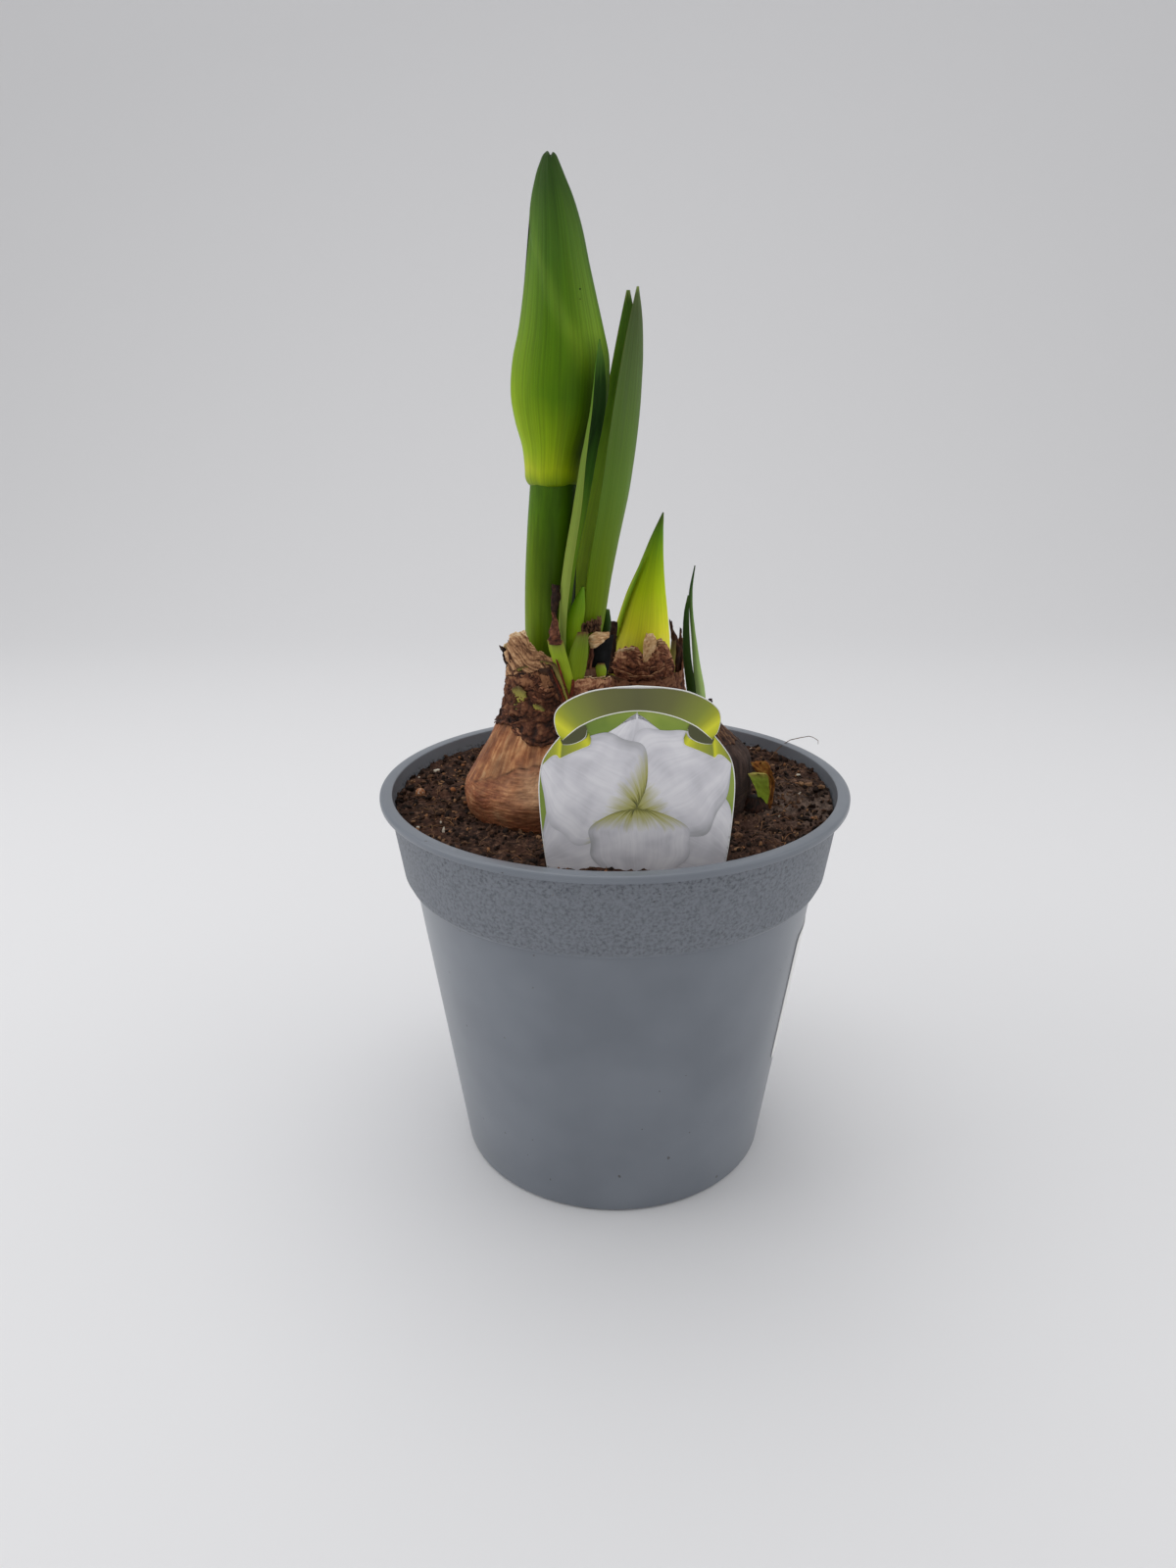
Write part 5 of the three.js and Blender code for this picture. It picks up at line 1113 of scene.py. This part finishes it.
# strips of skin and dried scale stand up between the necks, folded lengthwise
for name, replaces, skin, slot, spine, half, bearing, fold, thick, wavy in (
        ("scale_dry_tip", True, red_skin, "skin_rust",
         [(-20.1, -26.2, 202.2), (-20.4, -25.8, 205.2), (-20.2, -24.4, 208.6), (-20.6, -23.6, 212.8)],
         [2.3, 2.2, 1.3, 0.4], -100, 36, 1.3, 0.6),
        ("scale_dry_strip", False, dark_skin, "skin_brown",
         [(-20.2, -22.6, 204), (-20.3, -22, 211), (-19.9, -21.6, 216), (-19.8, -21.2, 221.4)],
         [0.8, 0.9, 1.6, 1.5], -95, 30, 0.8, 0.6),
        ("tunic_left_fold_outer", True, brown_skin, "skin_rust",
         [(-16.6, -27.4, 181), (-18.6, -27.6, 186), (-20.4, -27.6, 190), (-22.6, -27, 194.6)],
         [1, 1.3, 1.4, 0.9], -98, 40, 0.7, 0.4),
        ("tunic_left_fold_lining", False, pale_scale, "skin_cream",
         [(-15.6, -27.6, 181.6), (-17.4, -27.4, 187), (-19.2, -27.2, 192), (-20.9, -26.6, 196.4)],
         [0.5, 0.75, 0.9, 0.7], -96, 30, 0.5, 0.2),
        ("tunic_left_fold_edge", False, rust_skin, "skin_rust",
         [(-15.4, -27.8, 182.6), (-16.8, -27.6, 188), (-18.3, -27.2, 193), (-19.8, -26.6, 197.6)],
         [0.3, 0.35, 0.35, 0.3], -90, 40, 0.6, 0.2),
        ("tunic_left_fold_crease", False, rust_skin, "skin_rust",
         [(-16.4, -28, 182), (-18.2, -28.1, 186.6), (-19.9, -28, 190.4), (-21.6, -27.2, 194.6)],
         [0.3, 0.35, 0.35, 0.25], -95, 40, 0.6, 0.25),
        ("tunic_left_fold_inner", True, rust_skin, "skin_rust",
         [(-16.4, -27.6, 181), (-15.1, -27.5, 185), (-14.5, -27.2, 188), (-14.2, -26.8, 190.8)],
         [0.7, 0.65, 0.6, 0.5], -84, 40, 0.8, 0.2),
        ("tunic_back_chip", True, cream_skin, "skin_cream",
         [(11.8, 18.3, 185.4), (13.1, 18.5, 189), (13.8, 19.2, 192.6), (13.4, 20.2, 196)],
         [0.8, 2.1, 2.6, 1.4], -86, 24, 0.6, 0.3),
        ("scale_back_edge", True, brown_skin, "scale_pale",
         [(25.9, 33.6, 168), (25.9, 33.6, 178), (26.4, 33.6, 184), (26, 33.6, 189), (26, 33.6, 195.4)],
         [0.9, 1, 0.9, 0.6, 0.4], -60, 40, 0.7, 0.5),
        ("scale_back_curl", False, brown_skin, "skin_brown",
         [(25.2, 32.6, 168), (25.1, 32.6, 176), (24.9, 32.6, 182), (25, 32.6, 186.4), (24, 32.6, 190.2),
          (22.7, 32.6, 194.2), (21.9, 32.6, 198.8)],
         [1.4, 1.2, 1.1, 1.7, 1.6, 0.8, 0.4], -78, 40, 0.8, 0.5),
        ("tunic_right_roll", False, dark_skin, "skin_brown",
         [(32, -9.4, 168), (32.8, -9, 173), (33.4, -8.8, 176.6), (33.6, -8.6, 178.9)],
         [1.3, 1.2, 1.05, 0.75], -70, 60, 1, 0.3),
        ("tunic_left_spike", False, dark_skin, "skin_brown",
         [(-34.6, -13.8, 180), (-34.9, -13.6, 187), (-36.3, -13, 193), (-38.8, -12.4, 199)],
         [2.4, 2.8, 2.3, 0.7], -108, 40, 0.8, 0.7),
        ("tunic_left_spike_inner", False, brown_skin, "skin_brown",
         [(-33.4, -17, 184), (-34.4, -16.6, 190), (-35.4, -16.2, 196), (-35.8, -15.8, 201.6)],
         [1.2, 1.2, 1, 0.4], -135, 40, 0.6, 0.5),
        # a near-black sheet that stands in for the shade inside the hollow
        ("scale_hollow_wall", False, hollow_shade_skin, "bulb_dark",
         [(-6.4, -13.4, 181), (-5.6, -15.2, 188.4), (-4.8, -16, 195.4), (-4.1, -16, 204.2)],
         [2, 2.7, 3.2, 3.7], -90, 16, 0.7, 0.2),
        ("scale_hollow_side", False, red_skin, "skin_brown",
         [(-9.2, -17.6, 184), (-9.4, -17.9, 190), (-8.9, -17.8, 193.4), (-8.2, -17.9, 196.8),
          (-8.1, -18, 200.3), (-8.3, -18, 202.6)],
         [1, 1, 0.9, 0.75, 0.9, 1.2], -84, 40, 0.9, 0.4),
        ("scale_hollow_hood", False, cream_skin, "skin_tan",
         [(-7.6, -19, 199.4), (-6.3, -19.2, 201.6), (-5.4, -19, 203.3), (-4.6, -18.6, 204.9)],
         [0.8, 2.9, 3.6, 2.5], -86, 34, 0.7, 0.5),
        ("scale_back_dry", False, dark_skin, "skin_brown",
         [(-0.6, 22.4, 180), (0, 22, 190), (0.2, 21.4, 196), (0.3, 21, 200.4)],
         [1, 1.3, 1.5, 1.5], -90, 30, 0.7, 0.4)):
    count = len(spine)
    blade(f"{name}_strip", skin, slot, spine, half, [bearing] * count, [fold] * count, [thick] * count,
          name if replaces else None, around=24, up=40, cut=0.1, wavy=wavy)
blade("scale_hollow_shoot", cut_scale, "scale_green",
      [(-7.4, -13.4, 181), (-6, -15.8, 187), (-5.2, -16.9, 190.8), (-5, -16.9, 193.6)],
      [1.6, 2.2, 2.3, 1.3], [-90] * 4, [40] * 4, [1.8, 1.8, 1.6, 1.2], around=24, up=30)

# The offset is a small young bulb at the right bulb's side, in dark dry skin of its own. Its green scale is
# torn open and curls round its far side, and a dry amber skin stands behind that.
OFFSET = (49.3, -16.5)
OFFSET_ROWS = [(128, *OFFSET, 2.6, 2.6), (132, *OFFSET, 4.6, 4.6), (138, *OFFSET, 5.2, 5.2),
               (142, *OFFSET, 4.6, 4.6), (145, *OFFSET, 2.2, 2.2)]
knob = new_grid(60, 40)
crest = knob.verts.layers.float.new("crest")
for vert in knob.verts:
    z, cx, cy, rx, ry = spread(OFFSET_ROWS, (vert.co.y + 1) / 2)
    turn = vert.co.x * math.pi
    fold = folds(math.cos(turn) * 4, math.sin(turn) * 4, z * 0.4)
    # painted light on the folds' crests, painted shade in the creases
    vert[crest] = 0.05 + 0.3 * fold
    vert.co = (cx + (rx + 0.4 * fold) * math.cos(turn), cy + (ry + 0.4 * fold) * math.sin(turn), z)
close_up(knob)
new_piece("offset_bulb_knob", knob, brown_skin, "bulb_dark", ["offset_bulb"])
# Torn fresh, the scale is still moist and shines softly, with faint veins, and it yellows towards its edge.
fresh = [(0.0, "7c9c1c"), (0.5, "a0b83c"), (0.85, "a4b848"), (1.0, "a89c50")]
offset_green = leaf_skin("green bulb scale, torn", fresh, fresh, gloss=0.45, vein=0.14)
blade("offset_scale_sheet", offset_green, "scale_green",
      [(51.9, -17, 136.5), (52.2, -16.9, 141), (52.5, -16.6, 146), (51.2, -17.2, 150.6),
       (49.8, -18.2, 154.6)],
      [1.1, 1.5, 2.3, 3, 3.7], [78] * 5, [36] * 5, [1.3, 1.3, 1.2, 1.1, 0.8], "offset_scale", around=40,
      up=60, cut=0.05, wavy=0.35)
# The skin behind it is thin and dry, so it is papery like the others but a warm amber.
amber_skin = dry_skin("bulb tunic, amber", "4a2412", "9c6230", "c8944c", "ecc88c")
blade("offset_skin_sheet", amber_skin, "skin_rust",
      [(53.8, -15, 137), (54.6, -14.8, 143), (54.8, -14.6, 149), (52.6, -15, 154), (50.6, -15.8, 158.2)],
      [1.4, 1.8, 2.2, 3.2, 3.4], [74] * 5, [34] * 5, [0.9] * 5, "offset_skin", around=40, up=60, cut=0.1,
      wavy=0.5)

# The plant label is a tag of white polystyrene sheet, die cut with an arched head, and it stands in the
# soil on its own stake, leaning back a little. LABEL_EDGE is half its outline down to the soil, sharp at
# one corner, and STAKE_EDGE goes on from there to the stake's point.
LABEL_EDGE = [(0, 196.9), (7.5, 196.4), (14.8, 195.2), (21, 192.6), (24.6, 189.6), (25.6, 186.4),
              (24.9, 182.6), (23.9, 181), (26.8, 177.4), (29.4, 173), (30.6, 166.5), (30.6, 159),
              (29.8, 148), (28.4, 137), (26.8, 128.5)]
SHARP_CORNER = 7
STAKE_EDGE = [(23.4, 124), (8.6, 120), (6, 116.5), (5.2, 84), (0, 62)]
LABEL_AT = (5.7, -60, 140.2)
LABEL_LEAN = 1.5
HALF_PLATE = 0.4
CUT_ROUNDING = 0.12
stand_label = (Matrix.Translation(LABEL_AT) @ Matrix.Rotation(math.radians(90 - LABEL_LEAN), 4, "X")
               @ Matrix.Translation((0, -LABEL_AT[2], 0)))


def smooth_run(points, steps, corners=()):
    """More points on a smooth line through the points, sharp at the corners named by their place."""
    run = []
    for first, last in zip((0, *corners), (*corners, len(points) - 1)):
        part = [(float(x), float(z), 0.0) for x, z in points[first:last + 1]]
        count = (last - first) * steps
        run += [spread(part, k / count) for k in range(count)]
    return run + [Vector((*points[-1], 0))]


half_edge = smooth_run(LABEL_EDGE, 6, (SHARP_CORNER,)) + [Vector((x, z, 0)) for x, z in STAKE_EDGE]
plate = bmesh.new()
ring = [plate.verts.new(p) for p in half_edge]
ring += [plate.verts.new((-p.x, p.y, 0)) for p in half_edge[-2:0:-1]]
plate.faces.new(ring)
body = bmesh.ops.extrude_face_region(plate, geom=plate.faces[:])
front = [g for g in body["geom"] if isinstance(g, bmesh.types.BMVert)]
bmesh.ops.translate(plate, vec=(0, 0, HALF_PLATE), verts=front)
bmesh.ops.translate(plate, vec=(0, 0, -HALF_PLATE), verts=ring)
bmesh.ops.recalc_face_normals(plate, faces=plate.faces)
outline = [e for e in plate.edges if abs(e.verts[0].co.z - e.verts[1].co.z) < 0.01]
bmesh.ops.bevel(plate, geom=outline, affect="EDGES", offset=CUT_ROUNDING, segments=2, profile=0.5,
                material=-1)
bmesh.ops.triangulate(plate, faces=[f for f in plate.faces if len(f.verts) > 4])
bmesh.ops.transform(plate, matrix=stand_label, verts=plate.verts)

# Rolled sheet is smooth and softly glossy, a cool white with a hardly visible cloud about 11 mm wide.
tag_plastic, tree, shader = new_material("polystyrene sheet, white",
                                         **{"Roughness": 0.32, "Specular IOR Level": 0.5})
where = add_node(tree, "TexCoord").outputs["Object"]
cloud = add_node(tree, "TexNoise", {"Vector": where, "Scale": 90}).outputs[0]
colour = add_node(tree, "ValToRGB", {0: cloud}, [(0.3, "ececea"), (0.7, "f4f4f3")]).outputs[0]
tree.links.new(colour, shader.inputs["Base Color"])
new_piece("label_plate", plate, tag_plastic, "label_plastic", ["plant_label"], smooth=False)

# The label's face is printed, in layers of ink under a clear varnish. The lowest is a green ground like
# blurred leaves, which leaves a thin white edge round the tag.
PRINT_TOP = 196.2
WHITE_EDGE = 0.32
INK_AT = 0.42
INK_STEP = 0.035
VARNISHED = {"Roughness": 0.3, "Specular IOR Level": 0.5}
GROUND_FOOT = 129
GROUND_TOP = 190


def label_reach(z):
    """Half the label's width at a height, inside its white edge."""
    edge = [(p.y, p.x) for p in reversed(half_edge[:-len(STAKE_EDGE)])]
    return max(between(edge, z) - WHITE_EDGE, 0)


def print_layer(name, mesh, material, level):
    """A printed layer on the label's face, kept inside the label's edge; level is its order in the print."""
    for vert in mesh.verts:
        vert.co.y = min(vert.co.y, PRINT_TOP)
        reach = label_reach(vert.co.y)
        vert.co = (min(max(vert.co.x, -reach), reach), vert.co.y, INK_AT + INK_STEP * level + vert.co.z)
    bmesh.ops.transform(mesh, matrix=stand_label, verts=mesh.verts)
    return new_piece(name, mesh, material, "label_plastic")


ground = new_grid(2, 160)
for vert in ground.verts:
    z = GROUND_FOOT + (vert.co.y + 1) / 2 * (GROUND_TOP - GROUND_FOOT)
    vert.co = (vert.co.x * 40, z, 0)
# Varnished ink shines a little more than the sheet. Its greens run into each other every 14 mm or so.
print_green, tree, shader = new_material("printed ink, green ground", **VARNISHED)
where = add_node(tree, "TexCoord").outputs["Object"]
cloud = add_node(tree, "TexNoise", {"Vector": where, "Scale": 70, "Detail": 2}).outputs[0]
colour = add_node(tree, "ValToRGB", {0: cloud},
                  [(0.3, "6f8a2a"), (0.5, "8ba238"), (0.7, "a5b452")]).outputs[0]
tree.links.new(colour, shader.inputs["Base Color"])
print_layer("label_print_ground", ground, print_green, 0)

# A generic white flower is printed over the green: six broad petals from one middle, each laid a little
# over the one before. A petal is its angle, length and width.
FLOWER_MIDDLE = 157.5
PETALS = ((90, 31, 19), (-30, 37, 19), (210, 37, 19), (32, 36, 19), (148, 36, 19), (-90, 30, 16))
petals = bmesh.new()
petals.loops.layers.uv.new("UVMap")
petal_tone = petals.verts.layers.float.new("shade")
for order, (angle, length, width) in enumerate(PETALS):
    petal = bmesh.ops.create_grid(petals, x_segments=40, y_segments=50, size=1, calc_uvs=True)
    turn = math.radians(angle)
    for vert in petal["verts"]:
        s, t = vert.co.x, (vert.co.y + 1) / 2
        rounded = math.sin(math.pi * min(t, 1) ** 0.72) ** 0.75
        broad = width * rounded * (1 + 0.05 * math.sin(17 * t + angle)) + 0.4
        far = length * t * (1 - 0.05 * s * s + 0.012 * math.sin(9 * s + angle))
        across = s * broad + 1.2 * math.sin(t * 3)
        vert[petal_tone] = 0.5 + 0.5 * s
        x = far * math.cos(turn) - across * math.sin(turn)
        vert.co = (x, FLOWER_MIDDLE + far * math.sin(turn) + across * math.cos(turn), 0.03 * order)

# The petals' ink is a cool white, greyed in soft patches, along 26 faint veins and at each petal's sides,
# with a yellow-green throat that is dark at its middle.
print_white, tree, shader = new_material("printed ink, white petals", **VARNISHED)
uv = add_node(tree, "UVMap").outputs[0]
lengthwise = add_node(tree, "Mapping", {"Vector": uv, "Scale": (26, 2.4, 1)}).outputs[0]
veins = add_node(tree, "TexNoise",
                 {"Vector": lengthwise, "Scale": 1, "Detail": 2, "Distortion": 0.4}).outputs[0]
broadly = add_node(tree, "Mapping", {"Vector": uv, "Scale": (3, 4, 1)}).outputs[0]
soft = add_node(tree, "TexNoise", {"Vector": broadly, "Scale": 1, "Detail": 2}).outputs[0]
vein_part = add_node(tree, "MapRange", {0: veins, 1: 0.35, 2: 0.65, 3: 0.0, 4: 0.14}).outputs[0]
soft_part = add_node(tree, "MapRange", {0: soft, 1: 0.4, 2: 0.65, 3: 0.0, 4: 0.3}).outputs[0]
side = add_node(tree, "Attribute", attribute_name="shade").outputs["Fac"]
edge = add_node(tree, "ValToRGB", {0: side},
                [(0.0, 0.55), (0.1, 0.12), (0.5, 0.0), (0.93, 0.0), (1.0, 0.35)]).outputs[0]
dull = add_node(tree, "Math", {0: vein_part, 1: soft_part}, operation="ADD").outputs[0]
dull = add_node(tree, "Math", {0: dull, 1: edge}, operation="ADD").outputs[0]
white = add_node(tree, "ValToRGB", {0: dull},
                 [(0.0, "efeef3"), (0.3, "dddce3"), (0.6, "c3c3c9"), (1.0, "a3a4a6")]).outputs[0]
height = add_node(tree, "SeparateXYZ", {0: uv}).outputs["Y"]
drift = add_node(tree, "MapRange", {0: veins, 3: -0.12, 4: 0.12}).outputs[0]
out = add_node(tree, "Math", {0: height, 1: drift}, operation="ADD").outputs[0]
throat = add_node(tree, "ValToRGB", {0: out}, [(0.02, 1.0), (0.11, 0.75), (0.24, 0.0)]).outputs[0]
colour = add_node(tree, "Mix", {0: throat, 6: white, 7: linear("a8a52e")}, data_type="RGBA").outputs[2]
deep = add_node(tree, "ValToRGB", {0: out}, [(0.0, 1.0), (0.07, 0.0)]).outputs[0]
colour = add_node(tree, "Mix", {0: deep, 6: colour, 7: linear("55562c")}, data_type="RGBA").outputs[2]
tree.links.new(colour, shader.inputs["Base Color"])
print_layer("label_print_petals", petals, print_white, 1)

# A plain ribbon is printed over the flower: a band along the arch without words on it, folded back at its
# ends into short notched tails. Its kinds are the band, a folded end and the shaded roll between them.
BAND, FOLDED, ROLLED = 0, 1, 2
ARCH_FOOT = 181.2
ARCH_MIDDLE = 178
BAND_INNER = [(23, 180), (21.6, 181.2), (19.4, 183), (17, 184.6), (12, 186.9), (6, 188.5)]
# The ribbon's ink is shaded like satin: the band is light near both ends and dark in its middle, with a
# white line along its edges.
ribbon_ink, tree, shader = new_material("printed ink, green ribbon", **VARNISHED)
place = add_node(tree, "SeparateXYZ", {0: add_node(tree, "UVMap").outputs[0]})
kind = add_node(tree, "Attribute", attribute_name="kind").outputs["Fac"]
band = add_node(tree, "ValToRGB", {0: place.outputs["X"]},
                [(0.0, "8f971c"), (0.06, "c6c91e"), (0.13, "e2e22e"), (0.2, "a9ae26"), (0.26, "8b9532"),
                 (0.38, "6c6e36"), (0.5, "5f6035"), (0.62, "6c6e36"), (0.74, "8b9532"), (0.8, "a9ae26"),
                 (0.87, "e2e22e"), (0.94, "c6c91e"), (1.0, "8f971c")]).outputs[0]
fold = add_node(tree, "ValToRGB", {0: place.outputs["X"]},
                [(0.0, "8f971c"), (0.3, "dfe02a"), (0.55, "b3b828"), (1.0, "8b9532")]).outputs[0]
back = add_node(tree, "Math", {0: kind, 1: 0.5}, operation="GREATER_THAN").outputs[0]
colour = add_node(tree, "Mix", {0: back, 6: band, 7: fold}, data_type="RGBA").outputs[2]
under = add_node(tree, "Math", {0: kind, 1: 1.5}, operation="GREATER_THAN").outputs[0]
colour = add_node(tree, "Mix", {0: under, 6: colour, 7: linear("4d4f2c")}, data_type="RGBA").outputs[2]
rim = add_node(tree, "Math", {0: place.outputs["Y"], 1: 0.54, 2: 0.5}, operation="COMPARE").outputs[0]
colour = add_node(tree, "Mix", {0: rim, 6: linear("f3f3ea"), 7: colour}, data_type="RGBA").outputs[2]
tree.links.new(colour, shader.inputs["Base Color"])


def ribbon_part(name, low, high, kind, level, steps=24):
    """A stretch of printed ribbon between its lower and its upper edge, each a run of points."""
    part = new_grid(steps, 4)
    layer = part.verts.layers.float.new("kind")
    low, high = ([(float(x), float(z), 0.0) for x, z in edge] for edge in (low, high))
    for vert in part.verts:
        u, v = (vert.co.x + 1) / 2, (vert.co.y + 1) / 2
        vert[layer] = kind
        vert.co = spread(low, u).lerp(spread(high, u), v)
    bmesh.ops.recalc_face_normals(part, faces=part.faces)
    return print_layer(name, part, ribbon_ink, level)


def mirrored(points, sign):
    """The points, or the same points on the label's other side."""
    return [(sign * x, z) for x, z in points]


for side, sign in (("left", -1), ("right", 1)):
    for stretch, kind, level, low, high in (
            ("tail", FOLDED, 10, [(22.8, 174.6), (24, 174), (25, 175), (26.6, 174.6), (29.4, 172)],
             [(22.6, 179.4), (23.4, 180.2), (24.4, 180.8), (26.4, 178), (30, 173.8)]),
            ("turn", FOLDED, 11, [(14.2, 180.4), (14.6, 178.4), (17.2, 177.2), (20.2, 175.9), (23.6, 174.2)],
             [(14.9, 182.4), (15.8, 180.6), (18, 179.4), (20.6, 178.6), (23.2, 178.4)]),
            ("roll", ROLLED, 12, [(15.4, 183.4), (15.9, 181), (18, 179.4), (20.6, 178.6), (23, 178.6)],
             [(15.8, 184.6), (18.4, 184.6), (20.6, 183.2), (22.2, 181.8), (23.6, 180)])):
        ribbon_part(f"label_print_{stretch}_{side}", mirrored(low, sign), mirrored(high, sign), kind, level)
# the band's upper edge follows the label's own arch, drawn in a little
arch = [(p.x * 0.993, ARCH_MIDDLE + (p.y - ARCH_MIDDLE) * 0.989) for p in half_edge if p.y > ARCH_FOOT]
arch = mirrored(arch[::-1], -1) + arch[1:]
inner = mirrored(BAND_INNER, -1) + [(0, 189.1)] + mirrored(BAND_INNER[::-1], 1)
ribbon_part("label_print_ribbon", inner, arch, BAND, 13, steps=160)
